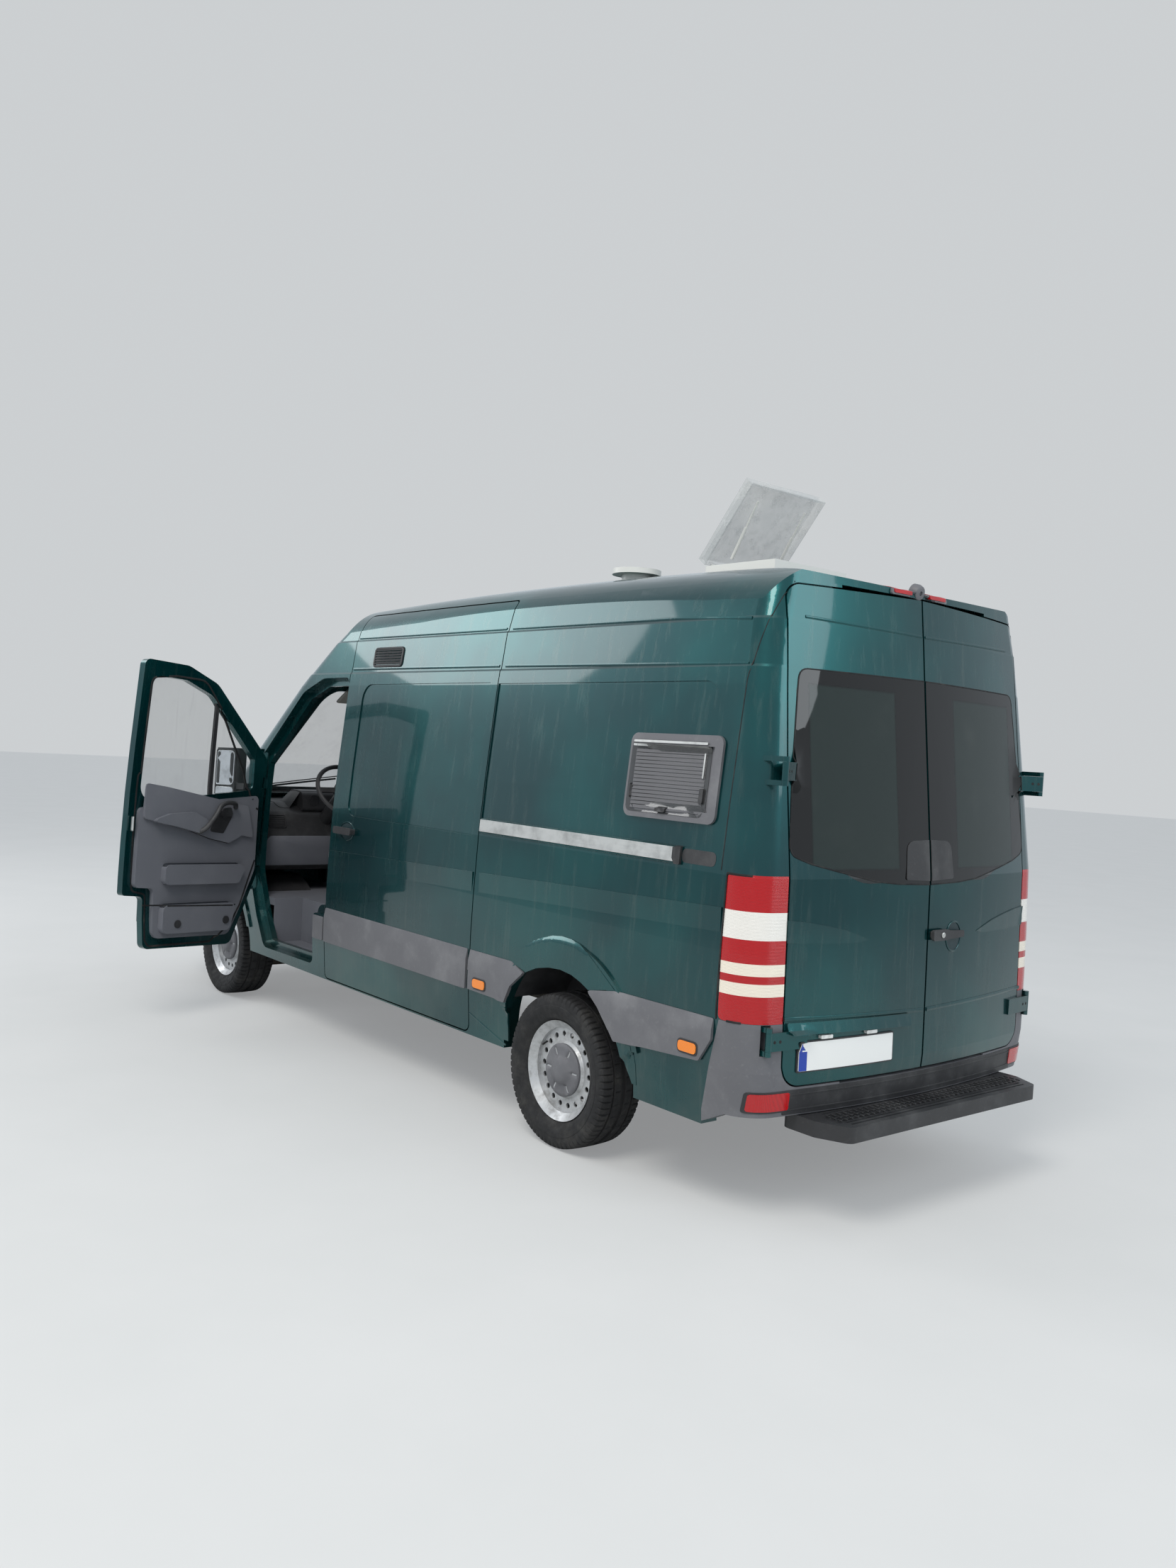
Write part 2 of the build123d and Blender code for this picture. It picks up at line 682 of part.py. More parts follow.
def cab_hinge_axis(side):
    lean = math.radians(CAB_HINGE_LEAN)
    return Axis(
        (CAB_HINGE_X, side * CAB_HINGE_Y, CAB_HINGE_Z),
        (0, -side * math.sin(lean), math.cos(lean)),
    )


def sliding_doors():
    """A sliding door on each side, with its stamped panel."""
    door = hull(0) & across(SLIDING_DOOR, DOOR_SPAN)
    recess = rounded([(-2905, 1334), (-1640, 1334), (-1640, 2086), (-2905, 2092)], [0, 70, 90, 0])
    door = door - (across(recess, DOOR_SPAN) - hull(STAMPING)) - hull(DOOR_THICKNESS)
    return [door, mirrored(door)]


def rear_door():
    """The left rear door, its window rebated for a bonded pane."""
    door = (hull(0) & along(REAR_DOOR, REAR_DOOR_SPAN)) - form(DOOR_THICKNESS)
    door -= along(grown(REAR_WINDOW, -GLASS_SEAT), REAR_SPAN)
    door -= along(REAR_WINDOW, REAR_SPAN) - hull(GLASS + CLEAR)
    return door + rear_hinge_plates()


def rear_door_glass():
    return (hull(0) & along(grown(REAR_WINDOW, -CLEAR), REAR_SPAN)) - hull(GLASS)


def windscreen():
    pane = hull(0) & along(grown(WINDSCREEN, -CLEAR), (-950, 1100))
    return pane - hull(GLASS)


def tail_lamps():
    lamp = (hull(0) & across(grown(TAIL_LAMP, -CLEAR), (LAMP_EDGE, 1100))) - hull(LAMP_DEPTH - CLEAR)
    return [lamp, mirrored(lamp)]


def camper_window():
    """The outer frame and pane of the hinged side window."""
    rim = (hull(-FLARE_HEIGHT) & across(CAMPER_WINDOW, (600, 1100))) - hull(0)
    neck = (hull(0) & across(grown(CAMPER_WINDOW, -13), (600, 1100))) - hull(LAMP_DEPTH)
    frame = (rim + neck) - across(grown(CAMPER_WINDOW, -45), (500, 1200))
    pane = (hull(STAMPING) & across(grown(CAMPER_WINDOW, -44), (600, 1100))) - hull(GLASS_DEPTH)
    return frame + pane


def slide_rails():
    face = rounded([(-4390, 1362), (-2985, 1362), (-2985, 1420), (-4390, 1420)], 4)
    rail = (hull(-FLARE_HEIGHT) & across(face, (600, 1100))) - hull(0)
    return [rail, mirrored(rail)]


def roof_vent():
    """A mushroom vent that stands on the roof."""
    dome = Pos(VENT_X, VENT_Y, 0) * bar(VENT_RADIUS, (2667, 2693))
    neck = Pos(VENT_X, VENT_Y, 0) * bar(VENT_NECK, (2560, 2690))
    return (dome + neck) - hull(0)


def hatch_frame():
    """The raised rim round the roof hatch, with two hinge lugs at its front."""
    x_mid = HATCH_X - HATCH_LENGTH / 2
    outer = Pos(x_mid, 0, 2645) * Box(HATCH_LENGTH - 10, HATCH_WIDTH - 20, 100)
    hole = Pos(x_mid, 0, 2645) * Box(HATCH_OPENING - 10, HATCH_OPENING - 10, 400)
    frame = (outer - hole) - hull(0)
    for side in SIDES.values():
        span = side_span(side, HATCH_LUG_Y, HATCH_LUG_Y + 25)
        lug = disc(HATCH_X, HATCH_HINGE_Z, 8, span)
        frame = frame + lug + block((HATCH_X - 13, HATCH_X), span, (2680, HATCH_HINGE_Z))
    return frame


def hatch_lid():
    """The clear lid, closed, with a barrel beside each lug, before it is swung open."""
    x_mid = HATCH_X - HATCH_LENGTH / 2
    lid = Pos(x_mid, 0, 2725) * Box(HATCH_LENGTH, HATCH_WIDTH, 50)
    lid -= Pos(x_mid, 0, 2715) * Box(HATCH_LENGTH - 20, HATCH_WIDTH - 20, 50)
    for side in SIDES.values():
        lid -= disc(HATCH_X, HATCH_HINGE_Z, 22, side_span(side, HATCH_LUG_Y - 1, HATCH_LUG_Y + 30))
        barrel = side_span(side, HATCH_LUG_Y - 40, HATCH_LUG_Y - PIN_GAP)
        lid = lid + disc(HATCH_X, HATCH_HINGE_Z, 8, barrel)
    return lid


def hatch_axis():
    return Axis((HATCH_X, 0, HATCH_HINGE_Z), (0, 1, 0))


def tyre():
    half = TYRE_WIDTH / 2
    with BuildSketch(Plane.XZ) as section:
        with BuildLine():
            Polyline(
                (RIM_RADIUS, -RIM_WIDTH / 2 + 10),
                (RIM_RADIUS + 50, -half),
                (TYRE_RADIUS - 34, -half + 3),
                (TYRE_RADIUS, -half + 32),
                (TYRE_RADIUS, half - 32),
                (TYRE_RADIUS - 34, half - 3),
                (RIM_RADIUS + 50, half),
                (RIM_RADIUS, RIM_WIDTH / 2 - 10),
                close=True,
            )
        make_face()
    return revolve(section.sketch, Axis.Z)


def rim():
    """A pressed steel wheel with a dished disc, round slots and a hub hole."""
    half = RIM_WIDTH / 2
    with BuildSketch(Plane.XZ) as section:
        with BuildLine():
            Polyline(
                (RIM_RADIUS - CLEAR, -half + 9),
                (RIM_RADIUS + 9, -half - 4),
                (RIM_RADIUS + 9, -half - 9),
                (RIM_RADIUS - 24, -half + 20),
                (RIM_RADIUS - 24, half - 20),
                (RIM_RADIUS + 9, half + 9),
                (RIM_RADIUS + 9, half + 4),
                (RIM_RADIUS - CLEAR, half - 9),
                (RIM_RADIUS - 18, half - 28),
                (RIM_RADIUS - 18, -half + 28),
                close=True,
            )
        make_face()
    barrel = revolve(section.sketch, Axis.Z)
    with BuildSketch(Plane.XZ) as dish:
        with BuildLine():
            Polyline(
                (HUB_RADIUS, DISC_OFFSET),
                (100, DISC_OFFSET),
                (125, DISC_OFFSET - 24),
                (RIM_RADIUS - 23, DISC_OFFSET - 24),
                (RIM_RADIUS - 23, DISC_OFFSET - 17),
                (130, DISC_OFFSET - 17),
                (105, DISC_OFFSET + 8),
                (HUB_RADIUS, DISC_OFFSET + 8),
                close=True,
            )
        make_face()
    disc_part = revolve(dish.sketch, Axis.Z)
    for index in range(RIM_SLOTS):
        angle = math.radians(360 / RIM_SLOTS * index)
        slot = extrude(RegularPolygon(RIM_SLOT / 2, 8), 60)
        disc_part -= Pos(160 * math.cos(angle), 160 * math.sin(angle), 0) * slot
    for index in range(BOLT_COUNT):
        angle = math.radians(360 / BOLT_COUNT * index)
        place = BOLT_CIRCLE / 2
        disc_part -= Pos(place * math.cos(angle), place * math.sin(angle), 60) * Cylinder(BOLT_HOLE / 2, 60)
    return barrel + disc_part


def knuckle(side):
    """A steering knuckle: hub, brake disc, upright and ball joint pins."""
    y = FRONT_TRACK / 2
    hub = disc(0, AXLE_HEIGHT, HUB_RADIUS - 2, (y - 60, y + DISC_OFFSET + 20))
    flange = disc(0, AXLE_HEIGHT, 88, (y + DISC_OFFSET - 14, y + DISC_OFFSET - CLEAR))
    brake = disc(0, AXLE_HEIGHT, 150, (y - 4, y + 22))
    upright = block((-45, 45), (KING_PIN_Y - 28, KING_PIN_Y + 28), (AXLE_HEIGHT - 130, AXLE_HEIGHT + 130))
    link = block((-40, 40), (KING_PIN_Y, y - 4), (AXLE_HEIGHT - 50, AXLE_HEIGHT + 50))
    pin = Pos(0, KING_PIN_Y, AXLE_HEIGHT) * Cylinder(14, PIN_HEIGHT)
    shape = hub + flange + brake + upright + link + pin
    return shape if side > 0 else mirrored(shape)


def front_axle():
    """Cross beam hung from the rails, lower and upper arms and spring struts."""
    shape = block((-90, 90), (-455, 455), (190, 260))
    top = AXLE_HEIGHT + PIN_HEIGHT / 2 + PIN_GAP
    low = AXLE_HEIGHT - PIN_HEIGHT / 2 - PIN_GAP
    for side in SIDES.values():
        shape = shape + block((-60, 60), side_span(side, 385, 455), (255, RAIL_BOTTOM - CLEAR))
        shape = shape + block((-35, 35), side_span(side, 445, KING_PIN_Y + 20), (low - 22, low))
        shape = shape + block((-30, 30), side_span(side, 445 + CLEAR, KING_PIN_Y + 18), (top, top + 18))
        shape = shape + Pos(-8, side * 610, 0) * bar(30, (low - 5, STRUT_TOP))
    return shape


def rear_axle():
    """Live axle with its differential, hubs, drums, leaf springs and their hangers."""
    x = -WHEELBASE
    y = REAR_TRACK / 2
    shape = disc(x, AXLE_HEIGHT, 48, (-y + 40, y - 40))
    shape = shape + disc(x, AXLE_HEIGHT, 150, (-70, 70))
    for side in SIDES.values():
        shape = shape + disc(x, AXLE_HEIGHT, 140, side_span(side, y - 45, y - 5))
        shape = shape + disc(x, AXLE_HEIGHT, HUB_RADIUS - 2, side_span(side, y - 45, y + DISC_OFFSET + 20))
        shape = shape + disc(x, AXLE_HEIGHT, 88, side_span(side, y + DISC_OFFSET - 14, y + DISC_OFFSET - CLEAR))
        shape = shape + block((x - 700, x + 650), side_span(side, 505, 575), (AXLE_HEIGHT + 48, AXLE_HEIGHT + 78))
        shape = shape + block((x - 70, x + 70), side_span(side, 500, 580), (AXLE_HEIGHT - 40, AXLE_HEIGHT + 50))
        for end in (x - 670, x + 620):
            hanger = block((end - 30, end + 30), side_span(side, RAIL_Y + 30 + CLEAR, 575), (AXLE_HEIGHT + 50, 560))
            shape = shape + hanger
    return shape


def chassis_frame():
    """Two frame rails joined by cross members under the floor."""
    top = FLOOR_TOP - FLOOR_THICKNESS - CLEAR
    shape = Part()
    for side in SIDES.values():
        shape = shape + block((-4620, 700), side_span(side, RAIL_Y - 30, RAIL_Y + 30), (RAIL_BOTTOM, top))
        pad = side_span(side, RAIL_Y - 25, RAIL_Y + 25)
        shape = shape + block((JACK_X - 60, JACK_X + 60), pad, (JACK_Z, RAIL_BOTTOM))
    for x in (-4500, -2600, -1700, -700, 300):
        shape = shape + block((x - 40, x + 40), (-RAIL_Y + 25, RAIL_Y - 25), (490, 570))
    return shape


def engine_block():
    return block((190, 590), (-290, 290), (570 + CLEAR, 1000))


def fuel_tank():
    """A plastic tank strapped between the rails."""
    tank = block((-2500, -1750), (-RAIL_Y + 30 + CLEAR, -30), (330, 560))
    return fillet(tank.edges().filter_by(Axis.X), 40)


def dashboard():
    """Dash with its top, instrument hood, centre console and steering column shroud."""
    front = X_FIREWALL - 30 - CLEAR
    face = rounded(
        [(front, 1330), (-200, 1310), (-330, 1250), (-380, 1080), (-330, 900), (-250, 860), (front, 860)],
        [10, 60, 60, 60, 40, 40, 10],
    )
    dash = across(face, (-900, 900))
    hood = across(rounded([(-60, 1300), (-330, 1260), (-310, 1390), (-130, 1405)], [5, 20, 40, 60]), (250, 590))
    low = CAB_FLOOR_TOP + CLEAR
    console = across(rounded([(60, low), (-300, low), (-420, 1000), (-420, 1230), (60, 1250)], 30), (-190, 190))
    shroud = steering_plane() * Pos(0, 0, -SHROUD_START - SHROUD_LENGTH / 2) * Cylinder(46, SHROUD_LENGTH)
    return (dash + hood + console + shroud) & hull(WALL + CLEAR)


def steering_plane():
    tilt = math.radians(STEER_TILT)
    return Plane(
        origin=(STEER_X, STEER_Y, STEER_Z),
        x_dir=(0, -1, 0),
        z_dir=(-math.cos(tilt), 0, math.sin(tilt)),
    )


def steering_wheel():
    """A four-spoke wheel with a stub that ends at the column shroud."""
    grip = Plane.XZ * (Pos(STEER_RADIUS, 0) * RegularPolygon(STEER_GRIP, 8))
    ring = revolve(grip, Axis.Z)
    hub = Pos(0, 0, -5) * Cylinder(62, 40)
    spokes = Box(2 * STEER_RADIUS, 34, 14) + Pos(0, -STEER_RADIUS / 2, 0) * Box(34, STEER_RADIUS, 14)
    stub = bar(22, (-SHROUD_START + PIN_GAP, 0))
    return steering_plane() * (ring + hub + spokes + stub)


def seat(y):
    """Cushion, and a backrest with its headrest on two posts."""
    low = SEAT_BASE + CLEAR
    cushion = across(
        rounded([(-1290, low), (-790, low), (-765, 1040), (-810, 1078), (-1290, 1052)], [10, 25, 40, 40, 15]),
        (y - 250, y + 250),
    )
    back = across(
        rounded(
            [(-1385, 960), (-1290.4, 960), (-1290.4, 1062), (-1385, 1640), (-1425, 1665), (-1485, 1650)],
            [20, 10, 60, 40, 20, 40],
        ),
        (y - 235, y + 235),
    )
    head = across(
        rounded([(-1480, 1715), (-1405, 1715), (-1390, 1840), (-1430, 1868), (-1480, 1850)], 22),
        (y - 130, y + 130),
    )
    posts = [Pos(-1440, y + step, 0) * bar(7, (1620, 1730)) for step in (-60, 60)]
    return [cushion, back + head + posts]


def seat_pedestals():
    return [
        block((-1230, -840), (y - 200, y + 200), (CAB_FLOOR_TOP + CLEAR, SEAT_BASE))
        for y in SEAT_YS
    ]


def van():
    """Every node of the van with its solids."""
    nodes = {
        "cab_shell": cab_shell(),
        "side_panels": side_panels(),
        "roof_panel": roof_panel(),
        "floor_pan": floor_pan(),
        "wheel_liners": wheel_liners(),
        "front_wings": wings(),
        "bonnet": bonnet(),
        "front_bumper": front_bumper(),
        "front_grille": grille(),
        "headlamps": headlamps(),
        "windscreen": windscreen(),
        "sliding_doors": sliding_doors(),
        "slide_rails": slide_rails(),
        "camper_window": camper_window(),
        "rear_bumper": rear_bumper(),
        "rear_step": rear_step(),
        "tail_lamps": tail_lamps(),
        "roof_vent": roof_vent(),
        "hatch_frame": hatch_frame(),
        "hatch_lid": hatch_lid().rotate(hatch_axis(), HATCH_OPEN),
        "dashboard": dashboard(),
        "steering_wheel": steering_wheel(),
        "seat_pedestals": seat_pedestals(),
        "cab_seats": [piece for y in SEAT_YS for piece in seat(y)],
        "chassis_frame": chassis_frame(),
        "engine_block": engine_block(),
        "front_axle": front_axle(),
        "rear_axle": rear_axle(),
        "fuel_tank": fuel_tank(),
        "knuckle_left": knuckle(1),
        "knuckle_right": knuckle(-1),
    }
    for name, shape in (
        ("rear_door", rear_door()),
        ("rear_glass", rear_door_glass()),
    ):
        nodes[name + "_left"] = shape
        nodes[name + "_right"] = mirrored(shape)
    for name, shape in (
        ("cab_door", cab_door()),
        ("cab_glass", cab_door_glass()),
        ("door_trim", cab_door_trim()),
        ("mirror", door_mirror()),
    ):
        nodes[name + "_left"] = shape.rotate(cab_hinge_axis(1), -CAB_DOOR_OPEN)
        nodes[name + "_right"] = mirrored(shape)
    for name, shape in (("rim", rim()), ("tyre", tyre())):
        for end, x, track in (("front", 0.0, FRONT_TRACK), ("rear", -WHEELBASE, REAR_TRACK)):
            for side_name, side in SIDES.items():
                place = Pos(x, side * track / 2, AXLE_HEIGHT) * Rot(-side * 90, 0, 0)
                nodes[name + "_" + end + "_" + side_name] = place * shape
    return nodes


os.makedirs("parts", exist_ok=True)
for node, shapes in van().items():
    pieces = shapes if isinstance(shapes, list) else [shapes]
    solids = [solid for piece in pieces for solid in piece.solids()]
    placed = Pos(*SHIFT) * Compound(children=solids)
    export_step(placed, "parts/" + node + ".step")
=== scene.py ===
import math

import bmesh
import bpy
from mathutils import Matrix, Vector
from mathutils.bvhtree import BVHTree


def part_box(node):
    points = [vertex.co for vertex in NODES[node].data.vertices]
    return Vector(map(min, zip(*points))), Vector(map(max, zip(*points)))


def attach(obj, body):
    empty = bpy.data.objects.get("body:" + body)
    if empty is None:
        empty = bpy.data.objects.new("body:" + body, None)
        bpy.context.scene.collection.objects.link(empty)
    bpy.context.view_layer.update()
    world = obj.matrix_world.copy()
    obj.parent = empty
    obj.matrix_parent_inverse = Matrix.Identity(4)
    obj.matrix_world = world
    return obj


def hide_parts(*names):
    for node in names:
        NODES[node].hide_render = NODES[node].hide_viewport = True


# A camper van on a high-roof panel van. The CAD nodes carry its form. This script gives them their
# finishes and adds the smaller pieces that lie on them. Lengths are in metres. Places are written in
# the van's own frame: x is 0 at the front axle and grows forward, y is 0 at the middle and grows to
# the left side, and z is 0 on the ground. at() turns such a place into the stored frame.

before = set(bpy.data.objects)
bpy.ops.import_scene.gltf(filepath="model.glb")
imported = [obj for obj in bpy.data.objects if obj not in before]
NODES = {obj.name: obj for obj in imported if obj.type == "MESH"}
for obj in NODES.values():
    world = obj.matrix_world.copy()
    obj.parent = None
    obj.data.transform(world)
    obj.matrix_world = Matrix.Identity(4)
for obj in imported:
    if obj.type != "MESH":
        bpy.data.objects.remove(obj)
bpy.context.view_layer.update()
SIDES = {"left": 1, "right": -1}
WHEELBASE = 3.665
AXLE_HEIGHT = 0.346
FULL_TURN = 2 * math.pi


def middle_of(node):
    low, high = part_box(node)
    return (low + high) / 2


AXLE = middle_of("tyre_front_left")
MID_Y = (AXLE.y + middle_of("tyre_front_right").y) / 2
OFFSET = Vector((AXLE.x, MID_Y, 0))


def at(x, y, z):
    """A place in the van's own frame, in the stored frame."""
    return Vector((x, y, z)) + OFFSET


def share_of(value, low, high):
    """How far a value lies from low to high, kept between 0 and 1."""
    return min(1.0, max(0.0, (value - low) / (high - low)))


# Materials


class Surface:
    """A procedural material. Each method adds a node and returns its output."""

    def __init__(self, name, **sockets):
        self.material = bpy.data.materials.new(name)
        self.material.use_nodes = True
        self.tree = self.material.node_tree
        self.tree.nodes.clear()
        self.shader = self.add("ShaderNodeBsdfPrincipled")
        self.output = self.add("ShaderNodeOutputMaterial", {0: self.shader.outputs[0]})
        self.place = self.add("ShaderNodeTexCoord").outputs["Object"]
        for socket, value in sockets.items():
            self.set(socket.replace("_", " "), value)

    def add(self, kind, inputs=None, **settings):
        node = self.tree.nodes.new(kind)
        for name, value in settings.items():
            setattr(node, name, value)
        for socket, value in (inputs or {}).items():
            self.feed(node.inputs[socket], value)
        return node

    def feed(self, socket, value):
        if isinstance(value, bpy.types.NodeSocket):
            self.tree.links.new(value, socket)
        elif socket.type == "RGBA" and len(value) == 3:
            socket.default_value = (*value, 1)
        else:
            socket.default_value = value

    def set(self, socket, value):
        self.feed(self.shader.inputs[socket], value)

    def stretched(self, x, y, z):
        """Coordinates squeezed along each axis, for grain and streaks."""
        return self.add("ShaderNodeMapping", {"Vector": self.place, "Scale": (x, y, z)}).outputs[0]

    def noise(self, scale, detail=4.0, roughness=0.55, place=None):
        place = self.place if place is None else place
        inputs = {"Vector": place, "Scale": scale, "Detail": detail, "Roughness": roughness}
        return self.add("ShaderNodeTexNoise", inputs).outputs["Fac"]

    def cells(self, scale):
        return self.add("ShaderNodeTexVoronoi", {"Vector": self.place, "Scale": scale}).outputs["Distance"]

    def waves(self, scale, axis="Z"):
        inputs = {"Vector": self.place, "Scale": scale, "Distortion": 0.0}
        node = self.add("ShaderNodeTexWave", inputs, bands_direction=axis, wave_profile="SIN")
        return node.outputs["Fac"]

    def span(self, value, low, high, to_low=0.0, to_high=1.0):
        """A value taken from one range to another, smoothly and without overshoot."""
        inputs = {0: value, 1: low, 2: high, 3: to_low, 4: to_high}
        return self.add("ShaderNodeMapRange", inputs, interpolation_type="SMOOTHSTEP").outputs[0]

    def calc(self, operation, first, second=0.0):
        return self.add("ShaderNodeMath", {0: first, 1: second}, operation=operation).outputs[0]

    def times(self, first, second):
        return self.calc("MULTIPLY", first, second)

    def plus(self, first, second):
        return self.calc("ADD", first, second)

    def larger(self, first, second):
        return self.calc("MAXIMUM", first, second)

    def axis(self, name):
        return self.add("ShaderNodeSeparateXYZ", {0: self.place}).outputs[name]

    def facing(self, name):
        """How far the surface faces along one axis of the van."""
        normal = self.add("ShaderNodeNewGeometry").outputs["Normal"]
        return self.add("ShaderNodeSeparateXYZ", {0: normal}).outputs[name]

    def mix(self, factor, first, second):
        node = self.add("ShaderNodeMix", data_type="RGBA")
        self.feed(node.inputs["Factor"], factor)
        colours = [socket for socket in node.inputs if socket.type == "RGBA"]
        self.feed(colours[0], first)
        self.feed(colours[1], second)
        return [socket for socket in node.outputs if socket.type == "RGBA"][0]

    def bump(self, height, distance, strength=1.0):
        """Adds relief, in metres, on top of any relief set before."""
        inputs = {"Height": height, "Distance": distance, "Strength": strength}
        before = self.shader.inputs["Normal"].links
        if before:
            inputs["Normal"] = before[0].from_socket
        self.set("Normal", self.add("ShaderNodeBump", inputs).outputs[0])


# The flake colour is pale enough to paint in glints as well as the flakes' own tone.
PETROL, PETROL_DEEP, PETROL_FLAKE_GLINT = (0.001, 0.070, 0.072), (0.001, 0.040, 0.045), (0.03, 0.15, 0.16)
DUST, GLASS_DUST = (0.235, 0.235, 0.205), (0.4, 0.4, 0.37)
LENS_RED = (0.42, 0.001, 0.004)
LENS_CREAM = (0.82, 0.74, 0.62)


def body_paint():
    """Dark petrol metallic under clear coat, with flake specks partly painted as glints, dust low down and
    rain streaks.
    """
    paint = Surface("body_paint", Metallic=0.7, Coat_Weight=0.6, Coat_Roughness=0.04, Specular_IOR_Level=0.3)
    base = paint.mix(paint.span(paint.noise(1.3, 3.0), 0.35, 0.7), PETROL_DEEP, PETROL)
    # Pale flake specks: partly the flakes' own tone, partly painted glints of light off them.
    base = paint.mix(paint.times(paint.span(paint.cells(900.0), 0.25, 0.0), 0.25), base, PETROL_FLAKE_GLINT)
    streak = paint.noise(7.0, 5.0, 0.65, paint.stretched(4.0, 4.0, 0.35))
    film = paint.noise(2.2, 6.0, 0.6)
    low = paint.span(paint.axis("Z"), 1.15, 0.25)
    dirt = paint.times(paint.span(streak, 0.5, 0.85), 0.15)
    dirt = paint.plus(dirt, paint.times(low, paint.span(film, 0.35, 0.75, 0.0, 0.16)))
    specks = paint.span(paint.cells(38.0), 0.05, 0.02)
    rare = paint.span(paint.noise(11.0, 2.0), 0.62, 0.66)
    dirt = paint.plus(dirt, paint.times(paint.times(specks, rare), 0.7))
    top = paint.span(paint.facing("Z"), 0.35, 0.95)
    dirt = paint.plus(dirt, paint.times(top, paint.span(film, 0.3, 0.8, 0.06, 0.3)))
    paint.set("Base Color", paint.mix(dirt, base, DUST))
    paint.set("Roughness", paint.plus(0.26, paint.times(dirt, 0.5)))
    paint.bump(paint.noise(3.0, 2.0), 0.0012, 0.25)
    paint.bump(paint.noise(420.0, 1.0), 0.00005, 0.5)
    return paint.material


def plastic(name, colour, roughness, wear=0.12, grain=700.0):
    """Grained plastic that has gone chalky where it is worn."""
    skin = Surface(name, Specular_IOR_Level=0.45)
    patches = skin.noise(5.0, 6.0, 0.6)
    worn = skin.times(skin.span(patches, 0.45, 0.8), wear)
    worn = skin.plus(worn, skin.times(skin.span(skin.noise(60.0, 4.0, 0.6), 0.55, 0.8), wear / 2))
    skin.set("Base Color", skin.mix(worn, colour, tuple(0.35 + 0.5 * c for c in colour)))
    skin.set("Roughness", skin.span(patches, 0.2, 0.8, roughness - 0.08, roughness + 0.1))
    skin.bump(skin.noise(grain, 2.0), 0.00012, 0.6)
    return skin.material


def rubber(name, colour):
    """Dull rubber with dust in its grain."""
    skin = Surface(name, Specular_IOR_Level=0.3)
    dust = skin.span(skin.noise(9.0, 8.0, 0.7), 0.45, 0.8, 0.0, 0.22)
    skin.set("Base Color", skin.mix(dust, colour, (0.16, 0.15, 0.13)))
    skin.set("Roughness", skin.span(skin.noise(30.0, 4.0), 0.3, 0.7, 0.6, 0.85))
    skin.bump(skin.noise(260.0, 3.0), 0.0003, 0.5)
    return skin.material


def wheel_paint():
    """Silver lacquer on a steel wheel, with brake dust in the dish."""
    metal = Surface("wheel_silver", Metallic=0.55, Coat_Weight=0.25, Coat_Roughness=0.2)
    grime = metal.noise(24.0, 6.0, 0.65)
    spots = metal.span(metal.noise(90.0, 4.0), 0.66, 0.74)
    colour = metal.mix(metal.span(grime, 0.42, 0.8, 0.05, 0.65), (0.50, 0.51, 0.52), (0.15, 0.14, 0.13))
    metal.set("Base Color", metal.mix(metal.times(spots, 0.5), colour, (0.10, 0.06, 0.04)))
    metal.set("Roughness", metal.span(grime, 0.3, 0.8, 0.34, 0.62))
    metal.bump(grime, 0.0003, 0.3)
    return metal.material


def bare_metal(name, colour, roughness):
    """Metal with brushed grain along the van and dull patches."""
    metal = Surface(name, Metallic=1.0)
    lines = metal.noise(40.0, 4.0, 0.6, metal.stretched(0.3, 8.0, 8.0))
    patches = metal.span(metal.noise(12.0, 5.0, 0.6), 0.4, 0.85, 0.0, 0.7)
    metal.set("Base Color", metal.mix(patches, colour, tuple(0.45 * c for c in colour)))
    metal.set("Roughness", metal.span(lines, 0.3, 0.7, roughness - 0.06, roughness + 0.1))
    metal.bump(lines, 0.0001, 0.3)
    return metal.material


def cast_metal():
    """Rough dark iron with rust and road dirt."""
    iron = Surface("cast_iron_dirty", Metallic=0.3)
    rust = iron.noise(14.0, 8.0, 0.7)
    colour = iron.mix(iron.span(rust, 0.45, 0.7), (0.045, 0.042, 0.04), (0.15, 0.075, 0.04))
    dirt = iron.span(iron.noise(3.0), 0.4, 0.8, 0.0, 0.5)
    iron.set("Base Color", iron.mix(dirt, colour, (0.12, 0.105, 0.09)))
    iron.set("Roughness", iron.span(rust, 0.3, 0.7, 0.55, 0.9))
    iron.bump(iron.noise(120.0, 5.0), 0.0008, 0.6)
    return iron.material


def chassis_paint():
    """Black chassis paint under dust and stone chips."""
    steel = Surface("chassis_black", Specular_IOR_Level=0.4)
    dirt = steel.noise(6.0, 8.0, 0.7)
    film = steel.span(dirt, 0.4, 0.75, 0.05, 0.75)
    steel.set("Base Color", steel.mix(film, (0.022, 0.022, 0.022), (0.15, 0.13, 0.10)))
    steel.set("Roughness", steel.span(dirt, 0.3, 0.8, 0.4, 0.9))
    steel.bump(steel.noise(90.0, 5.0), 0.0005, 0.5)
    return steel.material


def window_glass(name, tint, alpha, dust=0.05):
    """A pane whose see-through share is set by alpha, with a film of dust."""
    pane = Surface(
        name, Roughness=0.03, IOR=1.5, Specular_IOR_Level=0.7, Coat_Weight=0.6, Coat_Roughness=0.02
    )
    film = pane.span(pane.noise(4.0, 7.0, 0.65), 0.45, 0.85, 0.0, dust)
    streak = pane.span(pane.noise(6.0, 4.0, 0.6, pane.stretched(5.0, 5.0, 0.3)), 0.55, 0.8, 0.0, dust)
    total = pane.plus(film, streak)
    pane.set("Base Color", pane.mix(total, tint, GLASS_DUST))
    pane.set("Alpha", pane.plus(alpha, total))
    pane.set("Roughness", pane.plus(0.03, pane.times(total, 0.8)))
    return pane.material


